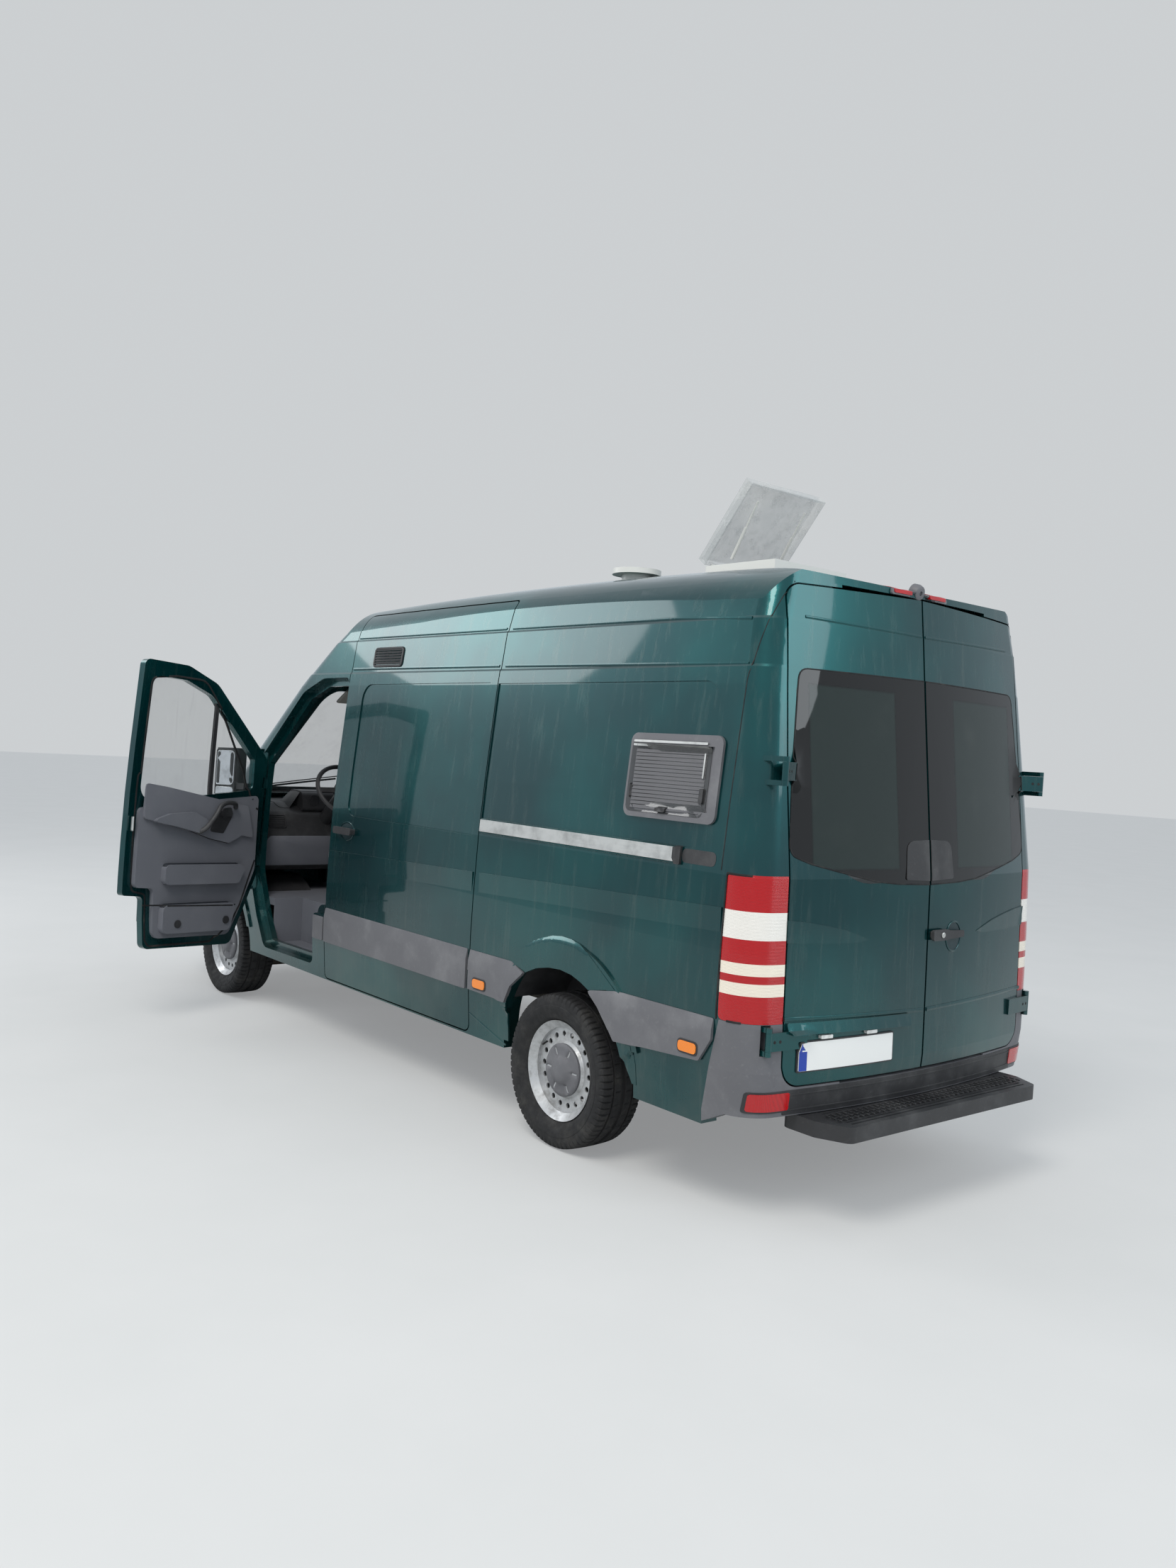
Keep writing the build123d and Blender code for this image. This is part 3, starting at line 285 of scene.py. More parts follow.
def rear_pane():
    """Dark tinted glass with a black edge band round its see-through middle."""
    pane = Surface("rear_glass", Roughness=0.02, IOR=1.5, Specular_IOR_Level=0.45)
    across = pane.calc("ABSOLUTE", pane.calc("SUBTRACT", pane.axis("Y"), MID_Y))
    height = pane.axis("Z")
    edge = pane.larger(pane.span(across, 0.685, 0.70), pane.span(across, 0.215, 0.20))
    edge = pane.larger(edge, pane.span(height, 2.085, 2.10))
    edge = pane.larger(edge, pane.span(height, 1.385, 1.37))
    film = pane.span(pane.noise(5.0, 7.0, 0.65), 0.5, 0.9, 0.0, 0.03)
    middle = pane.mix(film, (0.012, 0.022, 0.020), GLASS_DUST)
    pane.set("Base Color", pane.mix(edge, middle, (0.0015, 0.0015, 0.0015)))
    pane.set("Alpha", pane.larger(edge, pane.plus(0.84, film)))
    pane.set("Roughness", pane.plus(0.02, film))
    return pane.material


def clear_plastic():
    """Scuffed clear acrylic."""
    pane = Surface("clear_acrylic", IOR=1.49, Specular_IOR_Level=0.6)
    scuff = pane.span(pane.noise(18.0, 8.0, 0.7), 0.45, 0.75)
    dust = pane.span(pane.noise(3.0, 5.0), 0.4, 0.8)
    pane.set("Base Color", pane.mix(dust, (0.50, 0.52, 0.52), (0.62, 0.62, 0.60)))
    pane.set("Alpha", pane.plus(0.32, pane.times(scuff, 0.2)))
    pane.set("Roughness", pane.span(scuff, 0.0, 1.0, 0.08, 0.35))
    return pane.material


LAMP_FOOT, LAMP_HEIGHT = 0.78, 0.58
LAMP_BANDS = [
    (0.0, LENS_RED),
    (0.195, LENS_CREAM),
    (0.275, LENS_RED),
    (0.325, LENS_CREAM),
    (0.405, LENS_RED),
    (0.56, (0.80, 0.77, 0.72)),
    (0.745, LENS_RED),
]


def lamp_lens():
    """Tail lamp bands from the foot up, given as shares of the lamp's height, with fine ribs."""
    lens = Surface(
        "tail_lamp_lens", Roughness=0.14, IOR=1.49, Coat_Weight=0.4, Coat_Roughness=0.03,
        Specular_IOR_Level=0.35,
    )
    share = lens.times(lens.calc("SUBTRACT", lens.axis("Z"), LAMP_FOOT), 1.0 / LAMP_HEIGHT)
    ramp = lens.add("ShaderNodeValToRGB", {0: share})
    ramp.color_ramp.interpolation = "CONSTANT"
    points = ramp.color_ramp.elements
    for index, (position, colour) in enumerate(LAMP_BANDS):
        point = points[index] if index < 2 else points.new(position)
        point.position, point.color = position, (*colour, 1)
    band = ramp.outputs[0]
    deep = lens.mix(lens.span(lens.waves(60.0), 0.1, 0.9, 0.0, 0.35), band, (0.19, 0.0, 0.002))
    pale = lens.mix(lens.span(lens.waves(60.0), 0.1, 0.9, 0.0, 0.22), band, (0.35, 0.33, 0.30))
    is_pale = lens.span(lens.add("ShaderNodeSeparateColor", {0: band}).outputs["Green"], 0.2, 0.4)
    lens.set("Base Color", lens.mix(is_pale, deep, pale))
    lens.bump(lens.waves(60.0), 0.0012, 0.5)
    return lens.material


def coloured_lens(name, colour):
    """A moulded lens with fine ribs under a smooth face."""
    lens = Surface(
        name, Roughness=0.12, IOR=1.49, Coat_Weight=0.5, Coat_Roughness=0.03, Specular_IOR_Level=0.4
    )
    ribs = lens.times(lens.waves(90.0, "X"), lens.waves(90.0, "Z"))
    shade = lens.span(ribs, 0.1, 0.9, 0.0, 0.7)
    lens.set("Base Color", lens.mix(shade, colour, tuple(0.55 * c for c in colour)))
    lens.bump(ribs, 0.0008, 0.4)
    return lens.material


def seat_fabric(name, dark, pale):
    """Woven cloth with a fine weave and lint."""
    cloth = Surface(name, Sheen_Weight=0.3, Sheen_Roughness=0.5, Roughness=0.9, Specular_IOR_Level=0.2)
    weave = cloth.times(cloth.waves(260.0, "X"), cloth.waves(260.0, "Y"))
    lint = cloth.span(cloth.noise(8.0, 5.0), 0.5, 0.9, 0.0, 0.4)
    cloth.set("Base Color", cloth.mix(lint, cloth.mix(weave, dark, pale), (0.09, 0.09, 0.09)))
    cloth.bump(weave, 0.0006, 0.6)
    return cloth.material


MATERIALS = {
    "paint": body_paint(),
    "trim": plastic("black_plastic", (0.022, 0.022, 0.024), 0.5),
    "grey_trim": plastic("grey_plastic", (0.115, 0.115, 0.125), 0.55, 0.2),
    "interior": plastic("interior_grey", (0.13, 0.135, 0.155), 0.6, 0.06),
    "white_plastic": plastic("white_plastic", (0.66, 0.66, 0.63), 0.4, 0.1, 200.0),
    "glass": window_glass("clear_glass", (0.08, 0.10, 0.10), 0.16),
    "tint": window_glass("tinted_glass", (0.008, 0.011, 0.012), 0.86, 0.04),
    "rear_pane": rear_pane(),
    "acrylic": clear_plastic(),
    "lamp": lamp_lens(),
    "steel": chassis_paint(),
    "rim": wheel_paint(),
    "tyre": rubber("tyre_rubber", (0.016, 0.016, 0.017)),
    "iron": cast_metal(),
    "alloy": bare_metal("aluminium", (0.62, 0.62, 0.60), 0.38),
    "fabric": seat_fabric("seat_cloth", (0.022, 0.023, 0.027), (0.055, 0.057, 0.064)),
    "seal": rubber("seal_rubber", (0.010, 0.010, 0.011)),
    "frit": plastic("glass_edge_black", (0.006, 0.006, 0.007), 0.14, 0.03, 60.0),
    # Body paint darkened to paint the shade in the dishes behind the door handles.
    "painted_shade": plastic("shaded_paint", (0.004, 0.022, 0.027), 0.4, 0.05),
    "plate": plastic("plate_white", (0.78, 0.78, 0.76), 0.42, 0.05, 90.0),
    "blue": plastic("plate_blue", (0.012, 0.045, 0.33), 0.4, 0.02, 90.0),
    "red_lens": coloured_lens("red_lens", LENS_RED),
    "amber_lens": coloured_lens("amber_lens", (0.86, 0.23, 0.012)),
    "clear_lens": coloured_lens("clear_lens", (0.72, 0.72, 0.70)),
    "tint_acrylic": window_glass("smoked_acrylic", (0.03, 0.032, 0.034), 0.62, 0.12),
    "blind": seat_fabric("pleated_cloth", (0.10, 0.10, 0.11), (0.17, 0.17, 0.175)),
    "mirror_glass": bare_metal("mirror_silver", (0.75, 0.77, 0.78), 0.08),
    "seam": rubber("seat_thread", (0.012, 0.012, 0.014)),
    "dial": plastic("dial_face", (0.02, 0.02, 0.022), 0.3, 0.05),
    "pale_trim": plastic("pillar_trim", (0.34, 0.335, 0.31), 0.7, 0.06),
}
# The CAD nodes of each finish. A star stands for left and right.
NODE_FINISHES = {
    "paint": "cab_shell side_panels roof_panel front_wings bonnet sliding_doors rear_door_* cab_door_*",
    "interior": "floor_pan door_trim_*",
    "trim": "wheel_liners front_grille rear_step dashboard steering_wheel seat_pedestals fuel_tank mirror_*",
    "grey_trim": "front_bumper camper_window rear_bumper",
    "glass": "headlamps windscreen cab_glass_*",
    "tint": "rear_glass_*",
    "alloy": "slide_rails",
    "lamp": "tail_lamps",
    "white_plastic": "roof_vent hatch_frame",
    "acrylic": "hatch_lid",
    "fabric": "cab_seats",
    "steel": "chassis_frame front_axle rear_axle",
    "iron": "engine_block knuckle_*",
    "rim": "rim_front_* rim_rear_*",
    "tyre": "tyre_front_* tyre_rear_*",
}


def finish_nodes():
    """Gives every CAD node its material."""
    finishes = {}
    for finish, names in NODE_FINISHES.items():
        for name in names.split():
            for side in SIDES:
                finishes[name.replace("*", side)] = finish
    for name, node in NODES.items():
        node.data.materials.clear()
        node.data.materials.append(MATERIALS[finishes[name]])


# Drawing pieces onto the van


class Skin:
    """Faces of CAD nodes or of a mesh, which pieces are laid on. They can be taken for the other side."""

    def __init__(self, *sources, other_side=False):
        points, faces = [], []
        for source in sources:
            first = len(points)
            mesh = NODES[source].data if isinstance(source, str) else source
            for vertex in mesh.vertices:
                place = vertex.co.copy()
                if other_side:
                    place.y = 2 * MID_Y - place.y
                points.append(place)
            faces += [[first + index for index in face.vertices] for face in mesh.polygons]
        self.tree = BVHTree.FromPolygons(points, faces)


class Look:
    """A drawing plane seen from outside the van, with the way that its rays go."""

    def __init__(self, start, right, up, way):
        self.start, self.right, self.up, self.way = at(*start), Vector(right), Vector(up), Vector(way)

    def place(self, point):
        return self.start + self.right * point[0] + self.up * point[1]

    def depth(self, point, skin):
        """How far from the plane the skin lies, or None."""
        return skin.tree.ray_cast(self.place(point), self.way)[3]


class LevelLook(Look):
    """A look whose depth is read at one height, above the lip of the wheel arch."""

    LEVEL = 1.0

    def depth(self, point, skin):
        return super().depth((point[0], self.LEVEL), skin)


FAR_OUT = 3.0
ALONG, ACROSS, UP = (1, 0, 0), (0, 1, 0), (0, 0, 1)
SIDE_LOOK = {sign: Look((0, FAR_OUT * sign, 0), ALONG, UP, (0, -sign, 0)) for sign in (1, -1)}
ARCH_LOOK = {sign: LevelLook((0, FAR_OUT * sign, 0), ALONG, UP, (0, -sign, 0)) for sign in (1, -1)}
INNER_LOOK = {sign: Look((0, 0.3 * sign, 0), ALONG, UP, (0, sign, 0)) for sign in (1, -1)}
REAR_LOOK = Look((-8, 0, 0), ACROSS, UP, (1, 0, 0))
REAR_INNER_LOOK = Look((-4, 0, 0), ACROSS, UP, (-1, 0, 0))
FRONT_LOOK = Look((3, 0, 0), ACROSS, UP, (-1, 0, 0))
TOP_LOOK = Look((0, 0, 4), ALONG, ACROSS, (0, 0, -1))


def rounded(points, radius, steps=5):
    """An outline with its corners rounded. radius is one number, or one for each corner."""
    corners = [Vector(point) for point in points]
    radii = radius if isinstance(radius, list) else [radius] * len(corners)
    outline = []
    for index, corner in enumerate(corners):
        if radii[index] == 0:
            outline.append(corner)
            continue
        before = corners[index - 1] - corner
        after = corners[(index + 1) % len(corners)] - corner
        reach = radii[index] / math.tan(before.angle(after) / 2)
        reach = min(reach, 0.49 * before.length, 0.49 * after.length)
        first = corner + before.normalized() * reach
        last = corner + after.normalized() * reach
        for step in range(steps + 1):
            share = step / steps
            outline.append(first.lerp(corner, share).lerp(corner.lerp(last, share), share))
    return outline


def oblong(left, low, right, high, radius=0, steps=5):
    """A rectangle, with rounded corners where a radius is given."""
    corners = [(left, low), (right, low), (right, high), (left, high)]
    return rounded(corners, radius, steps) if radius else corners


def ellipse(x, y, across, tall, count=28):
    turns = [FULL_TURN * step / count for step in range(count)]
    return [Vector((x + across * math.cos(a), y + tall * math.sin(a))) for a in turns]


def divided(points, step, closed=False):
    """A path with more points, none further apart than step."""
    path = [Vector(point) for point in points]
    if closed:
        path.append(path[0])
    result = []
    for first, second in zip(path, path[1:]):
        count = max(1, math.ceil((second - first).length / step))
        result += [first.lerp(second, index / count) for index in range(count)]
    if not closed:
        result.append(path[-1])
    return result


def smooth_path(points, steps):
    """A smooth line through points."""
    spots = [Vector(point) for point in points]
    ends = [2 * spots[0] - spots[1]] + spots + [2 * spots[-1] - spots[-2]]
    path = []
    for a, b, c, d in zip(ends, ends[1:], ends[2:], ends[3:]):
        for index in range(steps):
            t = index / steps
            bend = (2 * a - 5 * b + 4 * c - d) * t**2
            path.append(0.5 * (2 * b + (c - a) * t + bend + (3 * b - a - 3 * c + d) * t**3))
    return path + [spots[-1]]


class Pen:
    """How pieces are drawn: their look and skin, the ending of their names, their body and last move.

    A sign of 1 or -1 draws an outline on the left or the right half. 0 leaves it as it is given.
    """

    def __init__(self, look=None, skin=None, sign=0, ending="", body="body", matrix=None):
        self.look, self.skin, self.sign = look, skin, sign
        self.ending, self.body, self.matrix = ending, body, matrix

    def turned(self, outline):
        return [Vector((self.sign * point[0], point[1])) for point in outline] if self.sign else outline

    def spot(self, point, lift=0.0):
        """The place on the skin under a point, raised by lift."""
        return self.look.place(point) + self.look.way * (self.look.depth(point, self.skin) - lift)

    def plates(self, *rows):
        """Pieces of plates: name, finish, outlines, lift, sink, grid and bevel."""
        for name, finish, outlines, lift, sink, grid, bevel in rows:
            piece = Piece(self)
            for outline in outlines:
                piece.lay(outline, lift, sink, grid)
            piece.finish(name, finish, bevel)

    def beads(self, name, finish, lines, width, height, **settings):
        """A piece of beads that all have one section."""
        piece = Piece(self)
        for line in lines:
            piece.trace(line, width, height, **settings)
        piece.finish(name, finish)


def depths_on(look, skin, points):
    """The skin's depth under each point. Where a ray misses, it is that of the nearest point found."""
    depths = [look.depth(point, skin) for point in points]
    found = [(point, depth) for point, depth in zip(points, depths) if depth is not None]
    for index, point in enumerate(points):
        if depths[index] is None:
            depths[index] = min(found, key=lambda other: (other[0] - point).length)[1]
    return depths


def neighbours(spots, closed):
    """Each spot of a path with the one before it and the one after it."""
    last = len(spots) - 1
    for index, spot in enumerate(spots):
        after = spots[(index + 1) % len(spots)] if closed else spots[min(index + 1, last)]
        yield (spots[index - 1] if closed or index else spots[0]), spot, after


class Piece:
    """One object of the visual model, gathered from the forms that are added to it."""

    def __init__(self, pen=None):
        self.pen = pen or Pen()
        self.mesh = bmesh.new()

    def rings(self, rings, closed=False):
        """Joins rings of points into a skin. Its ends are closed unless it runs round."""
        rows = [[self.mesh.verts.new(point) for point in ring] for ring in rings]
        pairs = list(zip(rows, rows[1:]))
        if closed:
            pairs.append((rows[-1], rows[0]))
        else:
            self.mesh.faces.new(rows[0])
            self.mesh.faces.new(rows[-1])
        for first, second in pairs:
            for index in range(len(first)):
                after = (index + 1) % len(first)
                self.mesh.faces.new((first[index], first[after], second[after], second[index]))
        return self

    def lay(self, outline, lift, sink=0.004, grid=0.05, look=None):
        """A plate that follows the skin under its outline. lift is a height or a function of the place."""
        look = look or self.pen.look
        outline = self.pen.turned(outline)
        sheet = bmesh.new()
        sheet.faces.new([sheet.verts.new((point[0], point[1], 0)) for point in outline])
        bmesh.ops.triangulate(sheet, faces=sheet.faces[:])
        for axis in range(2):
            values = [point[axis] for point in outline]
            count = math.ceil((max(values) - min(values)) / grid)
            normal = Vector((1 - axis, axis, 0))
            for index in range(1, count):
                cut = normal * (min(values) + (max(values) - min(values)) * index / count)
                geometry = sheet.verts[:] + sheet.edges[:] + sheet.faces[:]
                bmesh.ops.bisect_plane(sheet, geom=geometry, plane_co=cut, plane_no=normal)
        top, bottom = {}, {}
        spots = [vertex.co for vertex in sheet.verts]
        for vertex, depth in zip(sheet.verts, depths_on(look, self.pen.skin, spots)):
            height = lift(vertex.co.x, vertex.co.y) if callable(lift) else lift
            place = look.place(vertex.co)
            top[vertex] = self.mesh.verts.new(place + look.way * (depth - height))
            bottom[vertex] = self.mesh.verts.new(place + look.way * (depth + sink))
        for face in sheet.faces:
            self.mesh.faces.new([top[vertex] for vertex in face.verts])
            self.mesh.faces.new([bottom[vertex] for vertex in reversed(face.verts)])
        for edge in sheet.edges:
            if edge.is_boundary:
                first, second = edge.verts
                self.mesh.faces.new((top[first], top[second], bottom[second], bottom[first]))
        sheet.free()
        return self

    def trace(self, points, width, height, closed=False, sink=0.003, step=0.03, look=None):
        """A bead that runs along the skin."""
        look = look or self.pen.look
        path = divided(self.pen.turned(points), step, closed)
        depths = depths_on(look, self.pen.skin, path)
        spots = [look.place(point) + look.way * depth for point, depth in zip(path, depths)]
        rings = []
        for before, spot, after in neighbours(spots, closed):
            across = (after - before).cross(look.way).normalized() * width / 2
            low, top = look.way * sink, look.way * -height
            ring = [spot - across + low, spot - across + top * 0.6, spot - across * 0.55 + top]
            ring += [spot + across * 0.55 + top, spot + across + top * 0.6, spot + across + low]
            rings.append(ring)
        return self.rings(rings, closed)

    def tube(self, points, radius, sides=12):
        """A round bar along points in space."""
        rings, side = [], None
        for before, spot, after in neighbours([Vector(point) for point in points], False):
            along = (after - before).normalized()
            if side is None:
                side = along.orthogonal().normalized()
            side = (side - along * side.dot(along)).normalized()
            other = along.cross(side)
            turns = [FULL_TURN * step / sides for step in range(sides)]
            rings.append([spot + (side * math.cos(a) + other * math.sin(a)) * radius for a in turns])
        return self.rings(rings)

    def lathe(self, profile, centre, axis, sides):
        """A turned form: profile gives places along the axis with their radii."""
        axis = Vector(axis).normalized()
        side = axis.orthogonal().normalized()
        other = axis.cross(side)
        turns = [FULL_TURN * step / sides for step in range(sides)]
        rings = []
        for along, radius in profile:
            middle = Vector(centre) + axis * along
            rings.append([middle + (side * math.cos(a) + other * math.sin(a)) * radius for a in turns])
        return self.rings(rings)

    def block(self, centre, size, radius, turn=None):
        """A moulded block with rounded upright edges and softened top and bottom."""
        half = Vector(size) / 2
        soft = min(radius, half.z) * 0.6
        rings = []
        for height, inset in ((-half.z, soft), (-half.z + soft, 0), (half.z - soft, 0), (half.z, soft)):
            x, y = half.x - inset, half.y - inset
            ring = [Vector((point.x, point.y, height)) for point in oblong(-x, -y, x, y, radius, 3)]
            if turn is not None:
                ring = [turn @ point for point in ring]
            rings.append([point + Vector(centre) for point in ring])
        return self.rings(rings)

    def finish(self, name, finish, bevel=0.0, crease=35):
        """Makes the object, with its finish, the body that carries it and its softened edges."""
        name += self.pen.ending
        bmesh.ops.recalc_face_normals(self.mesh, faces=self.mesh.faces[:])
        if self.pen.matrix is not None:
            self.mesh.transform(self.pen.matrix)
        mesh = bpy.data.meshes.new(name)
        self.mesh.to_mesh(mesh)
        self.mesh.free()
        mesh.materials.append(MATERIALS[finish])
        mesh.shade_smooth()
        mesh.set_sharp_from_angle(angle=math.radians(crease))
        thing = bpy.data.objects.new(name, mesh)
        bpy.context.scene.collection.objects.link(thing)
        if bevel:
            soften = thing.modifiers.new("soft_edges", "BEVEL")
            soften.width = bevel
            soften.segments = 3
            soften.limit_method = "ANGLE"
            soften.angle_limit = math.radians(40)
        body = self.pen.body
        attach(thing, body)
        return thing


def fall(low, high, start, end):
    """A lift that changes with height, from start at low to end at high."""
    return lambda _, height: start + (end - start) * share_of(height, low, high)


# Pieces at the rear

SIDE_NODES = ("side_panels", "sliding_doors", "roof_panel", "cab_shell", "front_wings")
BODY_SKIN = Skin(*SIDE_NODES, "rear_bumper", "tail_lamps", "camper_window", "slide_rails")
DOOR_SKIN = Skin("rear_door_left", "rear_door_right", "rear_glass_left", "rear_glass_right")
BUMPER_SKIN = Skin("rear_bumper")
LAMP_SKIN = Skin("tail_lamps", "side_panels")
HEADER_SKIN = Skin("roof_panel", "side_panels", "rear_door_left", "rear_door_right")
DOOR_EDGE = 0.812
GLASS_LINE = rounded(
    [
        (0.006, 1.310), (0.214, 1.316), (0.348, 1.328), (0.565, 1.370), (0.700, 1.398), (0.806, 1.432),
        (0.800, 1.56), (0.785, 1.75), (0.752, 2.04), (0.738, 2.152), (0.006, 2.158),
    ],
    [0, 0.1, 0.1, 0.1, 0.1, 0.05, 0.1, 0.1, 0.1, 0.05, 0],
)
CENTRE_PANEL = rounded([(0.007, 1.325), (0.165, 1.332), (0.152, 1.49), (0.007, 1.495)], [0, 0.01, 0.05, 0])
SWAGE = [
    (DOOR_EDGE, 1.184), (0.80, 1.182), (0.72, 1.175), (0.61, 1.158), (0.513, 1.139), (0.44, 1.118),
    (0.373, 1.096), (0.44, 1.086), (0.618, 1.088), (0.75, 1.093), (DOOR_EDGE, 1.098),
]
DOOR_CREASE = [(DOOR_EDGE, 0.806), (0.47, 0.798), (0.07, 0.789), (0.012, 0.786)]
TOP_CREASE = [(0.70, 2.356), (0.35, 2.350), (0.012, 2.345)]
# Round holes in the hinge plates, drawn as flat dark discs of painted shade.
HINGE_HOLES = [(0.868, 1.751), (0.840, 1.751), (0.868, 0.727), (0.840, 0.727)]
PLATE_LIP = rounded([(0.800, 0.792), (0.109, 0.782), (0.113, 0.734), (0.796, 0.748)], 0.012)
HANDLE_BAR = rounded(
    [
        (-0.238, 1.082), (-0.13, 1.078), (-0.11, 1.074), (-0.012, 1.074), (-0.012, 1.120), (-0.11, 1.120),
        (-0.13, 1.114), (-0.238, 1.110),
    ],
    0.010,
)
LOCK_PROFILE = [(0.004, 0.012), (-0.0035, 0.012), (-0.005, 0.010), (-0.005, 0.0035), (-0.003, 0.003)]
POD_PROFILE = [
    (0.01, 0.036), (-0.012, 0.036), (-0.026, 0.030), (-0.030, 0.022), (-0.030, 0.010), (-0.024, 0.009),
]
PLATE_LAMPS = {"outer": 0.60, "inner": 0.35}
DISH = (-0.188, 1.083)
STEP_RIBS, STEP_RIB_ROWS, STEP_RIB_REACH = 38, 3, 0.62


def swage_lift(across, height):
    """Fades in from the door's middle, over a slope that widens outwards."""
    reach = share_of(abs(across), 0.37, 0.67)
    share = min(1.0, max(0.0, (height - 1.088) / (0.012 + 0.09 * reach)))
    return 0.0006 + 0.007 * share * (0.35 + 0.65 * reach)


def add_rear_doors():
    for side, sign in SIDES.items():
        pen = Pen(REAR_LOOK, DOOR_SKIN, sign, "_" + side, "rear_door_" + side)
        # Each hinge hole is a flat dark disc: painted shade.
        bolts = [ellipse(across, height, 0.0065, 0.0065, 16) for across, height in HINGE_HOLES]
        pen.plates(
            ("outer_pane", "rear_pane", [GLASS_LINE], 0.002, 0.001, 0.08, 0),
            ("centre_panel", "trim", [CENTRE_PANEL], 0.005, -0.001, 0.03, 0.002),
            ("door_swage", "paint", [SWAGE], swage_lift, 0.004, 0.02, 0.0015),
            ("hinge_hole_shades", "seal", bolts, 0.0002, 0.001, 0.05, 0),
        )
        crease = Piece(pen).trace(DOOR_CREASE, 0.016, 0.004).trace(TOP_CREASE, 0.012, 0.003)
        crease.finish("door_crease", "paint")
        pen.beads("glass_gasket", "seal", [GLASS_LINE], 0.006, 0.003)
    for side, sign in SIDES.items():
        pen = Pen(REAR_INNER_LOOK, DOOR_SKIN, sign, "_" + side, "rear_door_" + side)
        lining = Piece(pen).lay(oblong(0.09, 0.66, 0.70, 1.24, 0.05), 0.003, 0.002, 0.08)
        for index in range(5):
            height = 0.76 + index * 0.095
            lining.trace([(0.16, height), (0.63, height)], 0.030, 0.008)
        lining.finish("rear_door_lining", "interior", 0.002)
    pen = Pen(REAR_LOOK, DOOR_SKIN, body="rear_door_left")
    pen.plates(
        ("plate_holder", "trim", [oblong(0.207, 0.596, 0.741, 0.718, 0.008)], 0.006, 0.004, 0.05, 0.002),
        ("plate_sheet", "plate", [oblong(0.214, 0.602, 0.734, 0.712, 0.006)], 0.0085, -0.005, 0.05, 0.001),
        ("plate_band", "blue", [oblong(0.694, 0.603, 0.7335, 0.711, 0.003)], 0.0092, -0.008, 0.05, 0),
        ("plate_lip", "paint", [PLATE_LIP], fall(0.735, 0.80, 0.024, 0.006), 0.004, 0.03, 0.004),
    )
    for name, y in PLATE_LAMPS.items():
        outline = oblong(y - 0.03, 0.722, y + 0.03, 0.736, 0.004)
        pen.plates(("plate_lamp_" + name, "clear_lens", [outline], 0.016, 0.004, 0.05, 0.001))


def add_rear_handle():
    """The bar handle with its lock and the dish behind it, on the right rear door. The dish's hollow is a
    flat plate of painted shade.
    """
    pen = Pen(REAR_LOOK, DOOR_SKIN, body="rear_door_right")
    dish, rim = ellipse(*DISH, 0.052, 0.060), ellipse(*DISH, 0.055, 0.063)
    # The dish is a flat plate of painted shade, laid on the door.
    pen.plates(("handle_dish_shade", "painted_shade", [dish], 0.0008, 0.002, 0.03, 0))
    pen.beads("handle_dish_shade_rim", "paint", [rim], 0.008, 0.0035, closed=True, step=0.01)
    bar = Piece(pen).lay(HANDLE_BAR, 0.024, -0.012, 0.02)
    bar.lay(oblong(-0.10, 1.080, -0.02, 1.114, 0.01), 0.014, 0.002, 0.02)
    bar.finish("handle_bar", "trim", 0.004)
    lock = Piece(pen).lathe(LOCK_PROFILE, pen.spot((-0.076, 1.097), 0.024), ALONG, 24)
    lock.finish("handle_lock", "alloy")


def add_rear_end():
    pen = Pen(REAR_LOOK, BUMPER_SKIN)
    centre = oblong(-0.782, 0.433, 0.782, 0.530, 0.006)
    pen.plates(("bumper_centre", "trim", [centre], 0.003, 0.004, 0.1, 0.002))
    ribs = [[(-0.77, height), (0.77, height)] for height in (0.452, 0.512)]
    pen.beads("bumper_ribs", "trim", ribs, 0.006, 0.0055)
    for side, sign in SIDES.items():
        back, lens = oblong(0.752, 0.446, 0.938, 0.529, 0.012), oblong(0.760, 0.453, 0.930, 0.522, 0.010)
        Pen(REAR_LOOK, BODY_SKIN, sign, "_" + side).plates(
            ("reflector_frame", "trim", [back], 0.0045, 0.004, 0.03, 0.0015),
            ("reflector", "red_lens", [lens], 0.0075, -0.004, 0.03, 0.0015),
        )
        lines = [[(-4.651, 0.792), (-4.651, 1.345)]]
        lines += [[(-4.651, height), (-4.760, height)] for height in (0.790, 1.348)]
        pen = Pen(SIDE_LOOK[sign], LAMP_SKIN, ending="_" + side)
        pen.beads("lamp_gasket", "seal", lines, 0.008, 0.004)
    pen = Pen(REAR_LOOK, HEADER_SKIN)
    base = rounded([(-0.17, 2.505), (0.215, 2.505), (0.205, 2.552), (-0.16, 2.552)], 0.010)
    for side, low, high in (("left", 0.085, 0.20), ("right", -0.155, -0.04)):
        lens = oblong(low, 2.512, high, 2.545, 0.008)
        pen.plates(("high_lamp_" + side, "red_lens", [lens], 0.014, 0.004, 0.03, 0.003))
    pen.plates(("high_lamp_base", "grey_trim", [base], 0.010, 0.004, 0.03, 0.003))
    camera = Piece(pen).lathe(POD_PROFILE, pen.spot((0.022, 2.535)), (1, 0, 0.25), 28)
    camera.finish("reversing_camera", "grey_trim")
    ribs = Piece()
    for row in range(STEP_RIB_ROWS):
        for index in range(STEP_RIBS):
            y = -STEP_RIB_REACH + index * (2 * STEP_RIB_REACH) / (STEP_RIBS - 1)
            ribs.block(at(-4.985 + row * 0.030, y, 0.431), (0.022, 0.007, 0.005), 0.002)
    ribs.finish("step_ribs", "trim")


# Pieces on the sides

